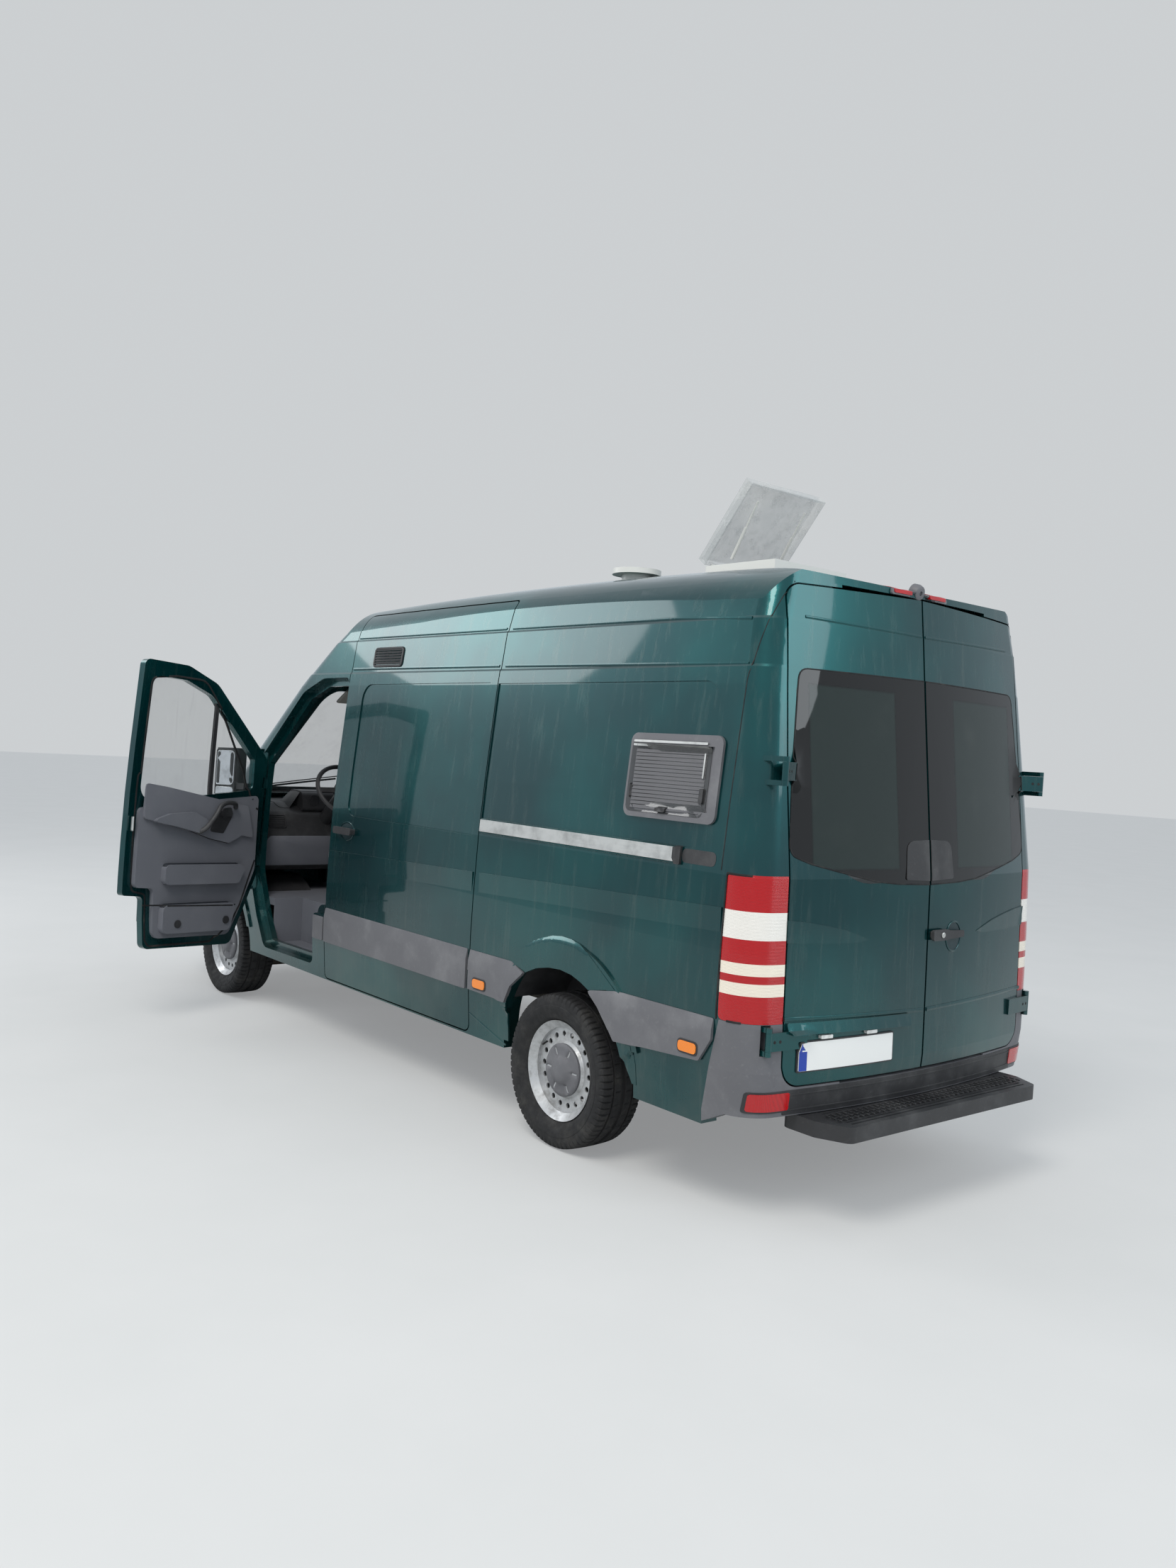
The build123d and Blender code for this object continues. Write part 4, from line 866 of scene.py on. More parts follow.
STRIP_LOW, STRIP_FOLD, STRIP_HIGH = 0.585, 0.742, 0.782
STRIPS = {
    "slide": [(-2.953, STRIP_LOW), (-1.476, STRIP_LOW), (-1.476, STRIP_HIGH), (-2.953, STRIP_HIGH)],
    "quarter": [
        (-3.296, 0.585), (-3.342, 0.672), (-3.44, 0.75), (-3.335, 0.782), (-2.970, STRIP_HIGH),
        (-2.970, 0.590),
    ],
    "tail": [
        (-4.577, 0.609), (-4.088, 0.578), (-4.03, 0.642), (-3.975, 0.70), (-3.898, 0.757), (-4.068, 0.784),
        (-4.640, 0.787), (-4.640, 0.705),
    ],
}
MARKERS = {"tail": (-4.517, 0.650), "quarter": (-3.077, 0.629)}
SHOULDER_HEIGHT = 0.095
# Each shoulder: its upper line, and the start, the height and the slope of its lift.
SHOULDERS = [
    ([(-4.640, 1.215), (-3.845, 1.189), (-2.972, 1.160)], -2.972, 1.160, 0.033),
    ([(-2.952, 1.159), (-1.48, 1.118)], -2.952, 1.159, 0.028),
]
ARCH_TOP = [
    (-3.333, 0.785), (-3.375, 0.830), (-3.422, 0.868), (-3.485, 0.905), (-3.553, 0.931), (-3.620, 0.949),
    (-3.683, 0.956), (-3.750, 0.953), (-3.812, 0.941), (-3.880, 0.912), (-3.941, 0.874), (-4.020, 0.821),
    (-4.068, 0.788), (-3.898, 0.757), (-3.840, 0.782), (-3.777, 0.801), (-3.697, 0.810), (-3.615, 0.805),
    (-3.525, 0.787), (-3.442, 0.752),
]
ARCH_ENDS = [
    [(-3.255, 0.40), (-3.255, 0.583), (-3.296, 0.583), (-3.301, 0.45), (-3.301, 0.40)],
    [(-4.090, 0.577), (-4.138, 0.482), (-4.180, 0.417), (-4.205, 0.417), (-4.200, 0.50), (-4.180, 0.577)],
]
FLARE_CENTRE, FLARE_RADIUS, FLARE_SLOPE = (-3.70, 0.36), 0.600, 0.022
SIDE_CREASES = [
    [(-2.972, 2.358), (-4.18, 2.354), (-4.60, 2.337)],
    [(-2.972, 2.172), (-4.62, 2.158)],
    [(-1.48, 2.358), (-2.950, 2.358)],
    [(-1.48, 2.176), (-2.950, 2.172)],
]
CORNER_SEAM = [(-4.700, 2.49), (-4.655, 2.25), (-4.630, 2.10), (-4.617, 1.355)]


def strip_lift(_, height):
    """A bumper strip: full below its fold, falling away above it."""
    if height < STRIP_FOLD:
        return 0.014
    return 0.014 - 0.010 * min(1.0, (height - STRIP_FOLD) / (STRIP_HIGH - STRIP_FOLD))


def flare_lift(along, height):
    """The arch's flare stands out inside a circle round the wheel."""
    reach = math.hypot(along - FLARE_CENTRE[0], height - FLARE_CENTRE[1])
    return 0.001 + 0.0145 * min(1.0, max(0.0, (FLARE_RADIUS - reach) / FLARE_SLOPE))


def shoulder_lift(start, high, slope):
    def lift(along, height):
        line = high + (start - along) * slope
        return 0.0005 + 0.0055 * min(1.0, max(0.0, 1 - (line - height) / SHOULDER_HEIGHT))

    return lift


def bar_handle(pen, name, finish, outlines, lift, sink, bevel):
    """A bar with its two feet."""
    bar = Piece(pen).lay(outlines[0], lift, sink, 0.03)
    for foot in outlines[1:]:
        bar.lay(foot, lift - 0.012, 0.002, 0.03)
    bar.finish(name, finish, bevel)


def add_side(side, sign):
    pen = Pen(SIDE_LOOK[sign], BODY_SKIN, ending="_" + side)
    for name, corners in STRIPS.items():
        outline = rounded(corners, 0.008, 2)
        pen.plates(("strip_" + name, "grey_trim", [outline], strip_lift, 0.003, 0.05, 0.002))
    for name, (x, z) in MARKERS.items():
        rim = oblong(x - 0.057, z - 0.028, x + 0.057, z + 0.028, 0.022)
        lens = oblong(x - 0.050, z - 0.021, x + 0.050, z + 0.021, 0.017)
        pen.plates(
            ("marker_rim_" + name, "trim", [rim], 0.0165, 0.001, 0.03, 0.002),
            ("marker_" + name, "amber_lens", [lens], 0.020, -0.010, 0.03, 0.003),
        )
    flare = Piece(pen).lay(ARCH_TOP, flare_lift, 0.008, 0.012, ARCH_LOOK[sign])
    for end in ARCH_ENDS:
        flare.lay(end, 0.0015, 0.008, 0.02)
    flare.finish("arch_flare", "paint")
    shoulder = Piece(pen)
    for line, *slope in SHOULDERS:
        low = [(x, z - SHOULDER_HEIGHT) for x, z in reversed(line)]
        shoulder.lay(line + low, shoulder_lift(*slope), 0.003, 0.04)
    shoulder.finish("shoulder", "paint", 0.001)
    crease = Piece(pen)
    for line in SIDE_CREASES:
        crease.trace(line, 0.014, 0.003)
    crease.trace([(-2.975, 0.469), (-3.28, 0.376)], 0.008, 0.002)
    crease.finish("side_creases", "paint")
    pen.beads("corner_seam", "seal", [CORNER_SEAM], 0.005, 0.0006)
    lips = [[(-2.985, height), (-4.388, height)] for height in (1.357, 1.421)]
    pen.beads("rail_lips", "paint", lips, 0.010, 0.007)
    stop_and_groove_shade = Piece(pen).lay(oblong(-4.392, 1.352, -4.358, 1.426, 0.006), 0.012, 0.002, 0.03)
    # The flat dark plate from the stop to the groove's rounded end is painted shade in the recessed groove.
    stop_and_groove_shade.lay(oblong(-4.583, 1.362, -4.394, 1.419, 0.026), 0.0012, 0.002, 0.03)
    stop_and_groove_shade.finish("rail_end_and_groove_shade", "trim", 0.001)
    # The handle's dish is a flat plate of painted shade.
    dish = ellipse(-1.66, 1.245, 0.075, 0.045)
    pen.plates(("slide_handle_dish", "painted_shade", [dish], 0.001, 0.002, 0.03, 0))
    rim = ellipse(-1.66, 1.245, 0.079, 0.049)
    pen.beads("slide_handle_rim", "paint", [rim], 0.008, 0.0035, closed=True, step=0.01)
    outlines = [
        oblong(-1.755, 1.226, -1.555, 1.266, 0.014),
        oblong(-1.595, 1.230, -1.560, 1.262, 0.012),
        oblong(-1.750, 1.230, -1.725, 1.262, 0.010),
    ]
    bar_handle(pen, "slide_handle", "trim", outlines, 0.036, -0.022, 0.005)
    louvre = Piece(pen).trace(oblong(-2.01, 2.19, -1.71, 2.29, 0.02), 0.014, 0.008, closed=True, step=0.012)
    for index in range(6):
        z = 2.203 + index * 0.015
        louvre.lay(oblong(-2.0, z, -1.72, z + 0.011), fall(z, z + 0.011, 0.009, 0.001), 0.001, 0.06)
    louvre.finish("louvre", "trim")


# Camper window, roof and wheels

WINDOW_LATCHES = [(-4.474, 1.60, -4.452, 1.66), (-4.08, 1.60, -4.058, 1.66), (-4.285, 1.552, -4.225, 1.574)]


def add_camper_window():
    pen = Pen(SIDE_LOOK[1], Skin("camper_window"))
    blind = Piece(pen)
    for index in range(16):
        z = 1.560 + index * 0.0155
        blind.lay(oblong(-4.467, z, -4.065, z + 0.013), fall(z, z + 0.013, 0.0045, 0.0028), -0.001, 0.2)
    blind.finish("camper_blind", "blind")
    strips = [oblong(-4.480, z, -4.043, z + 0.010, 0.004) for z in (1.818, 1.834)]
    latches = [oblong(*corners, 0.008) for corners in WINDOW_LATCHES]
    stays = [oblong(x - 0.004, 1.70, x + 0.004, 1.80, 0.003) for x in (-4.46, -4.07)]
    pane = oblong(-4.489, 1.545, -4.034, 1.846, 0.03)
    pen.plates(
        ("camper_pane", "tint_acrylic", [pane], 0.0025, 0.001, 0.06, 0.001),
        ("camper_window_strips", "alloy", strips, 0.006, -0.001, 0.1, 0.001),
        ("camper_latches", "trim", latches, 0.012, -0.003, 0.03, 0.002),
        ("camper_stays", "alloy", stays, 0.010, -0.004, 0.04, 0.001),
    )


def add_roof():
    stays = Piece(Pen(body="roof_hatch"))
    for sign in (1, -1):
        foot = at(-3.775, sign * 0.160, 2.735)
        stays.tube([foot, at(-3.93, sign * 0.165, 2.99)], 0.005)
        stays.tube([foot, at(-3.86, sign * 0.163, 2.876)], 0.008)
    stays.finish("hatch_stays", "white_plastic")


CAP_SIDES = 72
CAP_NOTCHES = 6
CAP_PROFILE = [
    (-0.012, 0.118), (0.006, 0.119), (0.012, 0.113), (0.015, 0.098), (0.014, 0.072), (0.020, 0.062),
    (0.030, 0.050), (0.034, 0.030), (0.035, 0.012), (0.035, 0.002),
]
TYRE_BLOCKS = 72
TYRE_STEPS = 5
TYRE_TOP = 0.3458
# Half of the tyre's section, from the bead to the middle: distance from the middle, and radius.
TYRE_PROFILE = [
    (0.070, 0.218), (0.082, 0.222), (0.093, 0.232), (0.098, 0.238), (0.100, 0.244), (0.108, 0.258),
    (0.1135, 0.272), (0.1165, 0.288), (0.1165, 0.291), (0.1150, 0.293), (0.1160, 0.300), (0.1150, 0.312),
    (0.1135, 0.322), (0.1120, 0.330), (0.1080, 0.337), (0.0980, 0.3418), (0.0800, 0.3435), (0.0680, 0.3440),
    (0.0600, 0.3442), (0.0585, 0.3370), (0.0505, 0.3370), (0.0490, 0.3448), (0.0300, 0.3455),
    (0.0120, 0.3458), (0.0105, 0.3375), (0.0, 0.3375),
]


def add_wheels():
    for front, x in (("front", 0.0), ("rear", -WHEELBASE)):
        for side, sign in SIDES.items():
            name = front + "_" + side
            pen = Pen(ending="_" + name, body="wheel_" + name)
            low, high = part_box("rim_" + name)
            outer = (high.y if sign > 0 else low.y) - MID_Y
            add_hub_cap(pen, x, outer, sign)
            add_tyre(pen, name)


def add_hub_cap(pen, x, outer, sign):
    """A grey plastic cap over the hub and its bolts, with the valve near the rim."""
    centre = at(x, outer - sign * 0.030, AXLE_HEIGHT)
    rings = []
    for along, radius in CAP_PROFILE:
        ring = []
        for step in range(CAP_SIDES):
            turn = FULL_TURN * step / CAP_SIDES
            notch = 0.0
            if 0.07 < radius < 0.112:
                notch = 0.010 * max(0.0, math.cos(CAP_NOTCHES * turn)) ** 12
            spot = (radius * math.cos(turn), sign * (along - notch), radius * math.sin(turn))
            ring.append(centre + Vector(spot))
        rings.append(ring)
    Piece(pen).rings(rings).finish("hub_cap", "grey_trim")
    foot = at(x + 0.148, outer - sign * 0.045, AXLE_HEIGHT + 0.095)
    tip = at(x + 0.136, outer - sign * 0.012, AXLE_HEIGHT + 0.088)
    Piece(pen).tube([foot, tip], 0.0045).finish("valve", "seal")


def add_tyre(pen, name):
    """A tyre with sipes in its shoulders and blocks between its grooves."""
    low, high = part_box("tyre_" + name)
    centre = Vector(((low.x + high.x) / 2, (low.y + high.y) / 2, (low.z + high.z) / 2))
    half_width = (high.y - low.y) / 2
    profile = [(-across, radius) for across, radius in TYRE_PROFILE] + TYRE_PROFILE[-2::-1]
    tyre = Piece(pen)
    rows = []
    for step in range(TYRE_BLOCKS * TYRE_STEPS):
        turn = FULL_TURN * step / (TYRE_BLOCKS * TYRE_STEPS)
        row = []
        for across, radius in profile:
            phase = (step + (TYRE_STEPS * 2 if across > 0 else 0)) % (TYRE_STEPS * 2)
            wide = abs(across)
            if wide > 0.066 and radius > 0.318 and phase % TYRE_STEPS == 0:
                radius -= 0.0065
                across *= 0.982
            elif 0.013 < wide < 0.049 and radius > 0.343 and phase == 3:
                radius -= 0.006
            radius = min(radius, TYRE_TOP)
            across = max(-half_width, min(half_width, across))
            spot = centre + Vector((radius * math.cos(turn), across, radius * math.sin(turn)))
            row.append(tyre.mesh.verts.new(spot))
        rows.append(row)
    for first, second in zip(rows, rows[1:] + rows[:1]):
        for index in range(len(first) - 1):
            tyre.mesh.faces.new((first[index], first[index + 1], second[index + 1], second[index]))
        tyre.mesh.faces.new((first[-1], first[0], second[0], second[-1]))
    thing = tyre.finish("tyre_tread", "tyre", crease=28)
    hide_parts("tyre_" + name)


# The cab doors, drawn where they are shut. DOOR_PLACE brings the left one to its open place.

DOOR_ANGLE = 71.0
HINGE_PLACE = (-0.430, 0.962, 1.0)
HINGE_LEAN = 2.5


def door_turn():
    lean = math.radians(HINGE_LEAN)
    axis = Vector((0, -math.sin(lean), math.cos(lean)))
    place = Matrix.Translation(at(*HINGE_PLACE))
    return place @ Matrix.Rotation(-math.radians(DOOR_ANGLE), 4, axis) @ place.inverted()


DOOR_PLACE = {"left": door_turn(), "right": None}
BELT_LINE = [
    (-1.372, 1.198), (-1.20, 1.168), (-1.041, 1.137), (-0.862, 1.085), (-0.725, 1.061), (-0.66, 1.088),
    (-0.623, 1.110), (-0.525, 1.096),
]
BELT_TOP = [(-0.535, 1.14), (-0.575, 1.295), (-0.922, 1.346), (-1.20, 1.388), (-1.36, 1.405)]
REST_LINE = [
    (-1.34, 1.185), (-1.20, 1.232), (-1.02, 1.246), (-0.93, 1.205), (-0.90, 1.155), (-0.95, 1.115),
    (-1.16, 1.158),
]
CUP_LINE = [(-0.885, 1.130), (-0.775, 1.120), (-0.70, 1.245), (-0.81, 1.262), (-0.855, 1.215)]
RELEASE_LINE = [(-0.80, 1.215), (-0.715, 1.235), (-0.735, 1.285), (-0.79, 1.275)]
PULL_LINE = [
    (-0.985, 1.120), (-0.950, 1.150), (-0.905, 1.195), (-0.866, 1.245), (-0.838, 1.290), (-0.79, 1.312),
    (-0.73, 1.308), (-0.690, 1.285),
]
SEAL_LINE = [
    (-1.412, 1.47), (-1.408, 1.10), (-1.400, 0.86), (-1.392, 0.772), (-1.296, 0.752), (-1.288, 0.48),
    (-1.262, 0.446), (-0.80, 0.448), (-0.655, 0.560), (-0.59, 0.67), (-0.52, 0.86), (-0.475, 0.98),
    (-0.475, 1.28),
]
OPENING = rounded(
    [
        (-1.393, 1.47), (-1.395, 2.02), (-1.22, 2.045), (-1.00, 2.045), (-0.80, 1.83), (-0.60, 1.52),
        (-0.53, 1.34),
    ],
    [0, 0.05, 0.08, 0.12, 0.3, 0.2, 0],
    6,
)
DIVIDER = [(-0.868, 1.355), (-0.838, 1.352), (-0.862, 1.905), (-0.890, 1.935)]
DOOR_STRIP = [(-1.300, STRIP_LOW), (-0.70, STRIP_LOW), (-0.66, STRIP_HIGH), (-1.300, STRIP_HIGH)]


def belt_lift(along, height):
    return 0.004 + 0.014 * min(1.0, max(0.0, (1.39 - height) / 0.16))


def add_cab_door(side, sign):
    """The skins are taken from the right door, which is shut in the frame."""
    ending, body, matrix = "_" + side, "cab_door_" + side, DOOR_PLACE[side]
    inner, outer = INNER_LOOK[sign], SIDE_LOOK[sign]

    def pen_on(look, *nodes):
        return Pen(look, Skin(*nodes, other_side=side == "left"), 0, ending, body, matrix)

    lining = pen_on(inner, "door_trim_right")
    whole = pen_on(inner, "door_trim_right", "cab_door_right", "cab_glass_right")
    panel = pen_on(outer, "cab_door_right")
    belt = rounded(BELT_LINE + BELT_TOP, 0.02, 3)
    caps = [ellipse(x, z, 0.024, 0.024, 24) for x, z in ((-1.107, 0.575), (-0.735, 0.585))]
    lining.plates(
        ("door_belt", "interior", [belt], belt_lift, 0.004, 0.05, 0.004),
        ("door_armrest", "interior", [rounded(REST_LINE, 0.03)], 0.046, 0.004, 0.05, 0.014),
        ("door_cup", "trim", [rounded(CUP_LINE, 0.02)], 0.021, -0.004, 0.03, 0.004),
        ("door_release", "trim", [rounded(RELEASE_LINE, 0.012)], 0.034, -0.018, 0.03, 0.004),
        ("door_caps", "trim", caps, 0.006, 0.001, 0.03, 0.002),
    )
    lifts = [0.024] + [0.058] * (len(PULL_LINE) - 2) + [0.024]
    spots = [lining.spot(point, lift) for point, lift in zip(PULL_LINE, lifts)]
    Piece(lining).tube(smooth_path(spots, 5), 0.015, 14).finish("door_pull", "trim")
    groove = Piece(lining).trace([(-1.335, 0.690), (-0.625, 0.672)], 0.008, 0.0015)
    groove.trace(BELT_LINE[1:-1], 0.007, 0.0035).finish("door_trim_lines", "seal")
    whole.beads("door_seal", "seal", [rounded(SEAL_LINE, 0.03, 4)], 0.012, 0.0015)
    seal = Piece(whole).trace(OPENING, 0.012, 0.003)
    seal.trace(OPENING, 0.010, 0.003, look=outer).finish("door_window_seal", "seal")
    bar = Piece(pen_on(inner, "cab_glass_right")).lay(DIVIDER, 0.008, 0.001, 0.06)
    bar.lay(DIVIDER, 0.003, 0.001, 0.06, outer).finish("door_divider", "trim", 0.002)
    waist = [(-1.42, 1.302), (-0.92, 1.302), (-0.60, 1.290)]
    whole.beads("door_waist_strip", "trim", [waist], 0.020, 0.007, look=outer)
    latch = Piece(lining).block(at(-1.434, sign * 0.912, 1.165), (0.010, 0.022, 0.085), 0.006)
    latch.finish("door_latch", "alloy", 0.001)
    panel.plates(
        ("strip_door", "grey_trim", [rounded(DOOR_STRIP, 0.008, 2)], strip_lift, 0.003, 0.06, 0.002),
        # The handle's bowl is a flat plate of painted shade.
        ("handle_bowl_shade", "painted_shade", [ellipse(-1.315, 1.105, 0.062, 0.045)], 0.0008, 0.002, 0.03, 0),
    )
    foot = oblong(-1.450, STRIP_LOW, -1.326, 0.722, 0.008, 2)
    post = Pen(outer, Skin("cab_shell"), ending=ending)
    post.plates(("strip_post", "grey_trim", [foot], 0.008, 0.003, 0.05, 0.002))
    outlines = [
        oblong(-1.405, 1.090, -1.215, 1.124, 0.012),
        oblong(-1.255, 1.092, -1.220, 1.122, 0.010),
        oblong(-1.400, 1.092, -1.372, 1.122, 0.010),
    ]
    bar_handle(panel, "handle_grip", "trim", outlines, 0.034, -0.020, 0.005)
    mirror = pen_on(Look((-2, 0, 0), ACROSS, UP, (1, 0, 0)), "mirror_right")
    mirror.sign = sign
    glasses = {"mirror_glass": (1.425, 1.648, 0.03), "mirror_wide_glass": (1.350, 1.412, 0.02)}
    for name, (low, high, radius) in glasses.items():
        glass = oblong(1.050, low, 1.212, high, radius)
        mirror.plates((name, "mirror_glass", [glass], 0.002, 0.002, 0.06, 0.001))
    mirror.beads("mirror_rim", "trim", [oblong(1.044, 1.344, 1.218, 1.654, 0.03)], 0.010, 0.006, closed=True)


# Seats, filled by cloth simulation

SEAT_Y = 0.42
VOXEL = 0.0075
CLOTH_FRAMES = 20
# Places across a pad, as shares of its half width, with the size of the outline there.
PAD_HALF = [(1, 0.80), (0.97, 0.93), (0.9, 0.99), (0.6, 1)]
PAD_SECTIONS = [(-share, size) for share, size in PAD_HALF] + [(0, 1)] + PAD_HALF[::-1]
FROM_FRONT = Look((1, 0, 0), ACROSS, UP, (-1, 0, 0))
# Each pad: its side outline, the radii of its corners, half its width, how far it may swell, the
# look that its seams are drawn in, and the seams.
PADS = {
    "cushion": (
        [(-1.275, 0.958), (-0.80, 0.958), (-0.782, 1.03), (-0.812, 1.062), (-1.275, 1.040)],
        [0.03, 0.03, 0.035, 0.045, 0.02], 0.236, 0.024, TOP_LOOK,
        [oblong(-1.235, -0.205, -0.835, 0.205, 0.05), oblong(-1.225, -0.125, -0.860, 0.125, 0.03)],
    ),
    "back": (
        [
            (-1.378, 0.985), (-1.302, 0.985), (-1.300, 1.070), (-1.388, 1.628), (-1.425, 1.648),
            (-1.472, 1.636),
        ],
        [0.02, 0.015, 0.05, 0.035, 0.02, 0.035], 0.222, 0.022, FROM_FRONT,
        [oblong(-0.190, 1.10, 0.190, 1.60, 0.06), oblong(-0.115, 1.12, 0.115, 1.55, 0.04)],
    ),
    "head": (
        [(-1.470, 1.724), (-1.412, 1.724), (-1.398, 1.835), (-1.432, 1.856), (-1.470, 1.842)],
        0.018, 0.122, 0.010, FROM_FRONT,
        [oblong(-0.095, 1.745, 0.095, 1.830, 0.02)],
    ),
}


def pad_form(side_line, radius, half_width, pen):
    """A closed side outline drawn across the seat, narrower towards its ends."""
    outline = rounded(side_line, radius, 4)
    middle = sum(outline, Vector((0, 0))) / len(outline)
    rings = []
    for share, size in PAD_SECTIONS:
        ring = [middle + (point - middle) * size for point in outline]
        rings.append([at(point.x, share * half_width, point.y) for point in ring])
    return Piece(pen).rings(rings)


def evaluated_mesh(thing):
    graph = bpy.context.evaluated_depsgraph_get()
    return bpy.data.meshes.new_from_object(thing.evaluated_get(graph))


def fill_pad(thing, cap):
    """Remeshes a closed form and swells it like a filled cushion. No point moves more than cap."""
    remesh = thing.modifiers.new("remesh", "REMESH")
    remesh.mode = "VOXEL"
    remesh.voxel_size = VOXEL
    mesh = evaluated_mesh(thing)
    thing.modifiers.clear()
    thing.data = mesh
    start = [vertex.co.copy() for vertex in mesh.vertices]
    cloth = thing.modifiers.new("cloth", "CLOTH")
    cloth.settings.quality = 4
    cloth.settings.use_pressure = True
    cloth.settings.uniform_pressure_force = 4
    cloth.settings.effector_weights.gravity = 0
    for number in range(1, CLOTH_FRAMES + 1):
        bpy.context.scene.frame_set(number)
    swollen = [vertex.co.copy() for vertex in evaluated_mesh(thing).vertices]
    thing.modifiers.clear()
    bpy.context.scene.frame_set(1)
    for vertex, before, after in zip(mesh.vertices, start, swollen):
        move = after - before
        vertex.co = before + move * min(1.0, cap / max(move.length, 1e-9))
    smooth = thing.modifiers.new("smooth", "SMOOTH")
    smooth.factor = 0.5
    smooth.iterations = 6
    thing.data = evaluated_mesh(thing)
    thing.modifiers.clear()


def add_seats():
    """The left seat is filled and sewn. The right one is its copy."""
    for name, (side_line, radius, half_width, cap, look, seams) in PADS.items():
        first = pad_form(side_line, radius, half_width, Pen(ending="_left")).finish("seat_" + name, "fabric")
        fill_pad(first, cap)
        first.data.shade_smooth()
        skin = Skin(first.data)
        second = bpy.data.objects.new("seat_" + name + "_right", first.data.copy())
        bpy.context.scene.collection.objects.link(second)
        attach(second, "body")
        for side, thing in (("left", first), ("right", second)):
            aside = Matrix.Translation((0, SIDES[side] * SEAT_Y, 0))
            pen = Pen(look, skin, ending="_" + side, matrix=aside)
            pen.beads("seat_" + name + "_seam", "seam", seams, 0.006, 0.0022, closed=True, step=0.015)
            if thing.name == "seat_cushion_left":
                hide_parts("cab_seats")
            thing.data.transform(aside)
    for side, sign in SIDES.items():
        posts = Piece(Pen(ending="_" + side))
        for step in (-0.06, 0.06):
            across = sign * SEAT_Y + step
            posts.tube([at(-1.440, across, 1.60), at(-1.440, across, 1.76)], 0.006)
        posts.finish("seat_posts", "alloy")


# Inside the cab, and the front of the van

LEVER_PROFILE = [
    (-0.05, 0.034), (0.0, 0.026), (0.03, 0.012), (0.10, 0.010), (0.105, 0.022), (0.14, 0.026), (0.155, 0.018),
]
HUB_PROFILE = [(-0.03, 0.075), (0.006, 0.078), (0.016, 0.066), (0.020, 0.04), (0.021, 0.004)]
HUB_TURN = math.radians(52)
VISOR_TURN = Matrix.Rotation(math.radians(28), 3, "Y")


def add_cab():
    skin = Skin("dashboard")
    pen = Pen(Look((-0.9, 0, 0), ACROSS, UP, (1, 0, 0)), skin)
    vents = Piece(pen)
    for y in (-0.78, -0.26, 0.26, 0.78):
        for index in range(5):
            z = 1.165 + index * 0.014
            vents.lay(oblong(y - 0.05, z, y + 0.05, z + 0.008), 0.006, 0.001, 0.06)
        vents.trace(oblong(y - 0.058, 1.157, y + 0.058, 1.237, 0.012), 0.008, 0.008, closed=True)
    vents.finish("dash_vents", "trim")
    lower = [oblong(-0.86, 0.90, -0.20, 1.10, 0.04), oblong(0.20, 0.90, 0.86, 1.10, 0.04)]
    dials = [ellipse(y, 1.335, 0.038, 0.038) for y in (0.335, 0.42, 0.505)]
    pen.plates(
        ("dash_lower", "interior", lower, 0.006, 0.003, 0.05, 0.004),
        ("dash_dials", "dial", dials, 0.004, 0.001, 0.04, 0.001),
    )
    stack = Piece(pen).lay(oblong(-0.11, 1.02, 0.11, 1.20, 0.015), 0.006, 0.003, 0.04)
    for z in (1.05, 1.10):
        for y in (-0.07, 0.0, 0.07):
            stack.lay(ellipse(y, z, 0.016, 0.016, 20), 0.018, -0.004, 0.04)
    stack.finish("dash_stack", "trim", 0.002)
    top = oblong(-0.27, -0.74, 0.02, 0.74, 0.05)
    Pen(TOP_LOOK, skin).plates(("dash_top", "trim", [top], 0.003, 0.002, 0.08, 0.002))
    Piece().lathe(LEVER_PROFILE, at(-0.40, 0.0, 1.17), (-0.5, 0, 1), 24).finish("gear_lever", "trim")
    tilt = Vector((-math.sin(HUB_TURN), 0, math.cos(HUB_TURN)))
    hub = Piece(Pen(body="steering")).lathe(HUB_PROFILE, at(-0.59, 0.42, 1.42) - tilt * 0.004, tilt, 36)
    hub.finish("steering_hub", "trim", 0.002)
    belts = Piece()
    for sign in SIDES.values():
        ends = [at(-1.470, sign * 0.80, 1.62), at(-1.445, sign * 0.72, 1.30), at(-1.40, sign * 0.69, 0.98)]
        belts.tube(smooth_path(ends, 5), 0.008, 8)
        belts.block(at(-1.475, sign * 0.80, 1.63), (0.03, 0.05, 0.08), 0.008)
    belts.finish("seat_belts", "seal")
    for side, sign in SIDES.items():
        visor = Piece(Pen(ending="_" + side))
        visor.block(at(-0.80, sign * 0.40, 2.035), (0.15, 0.40, 0.020), 0.012, VISOR_TURN)
        visor.finish("sun_visor", "pale_trim", 0.003)


def reflector_profile(radius):
    """A dish for a front lamp, with its thin wall."""
    outside = [(-0.045, 0.010), (-0.040, radius * 0.5), (-0.020, radius * 0.85), (0.0, radius)]
    inside = [(0.003, radius), (-0.018, radius * 0.83), (-0.036, radius * 0.5), (-0.038, 0.008)]
    return outside + inside


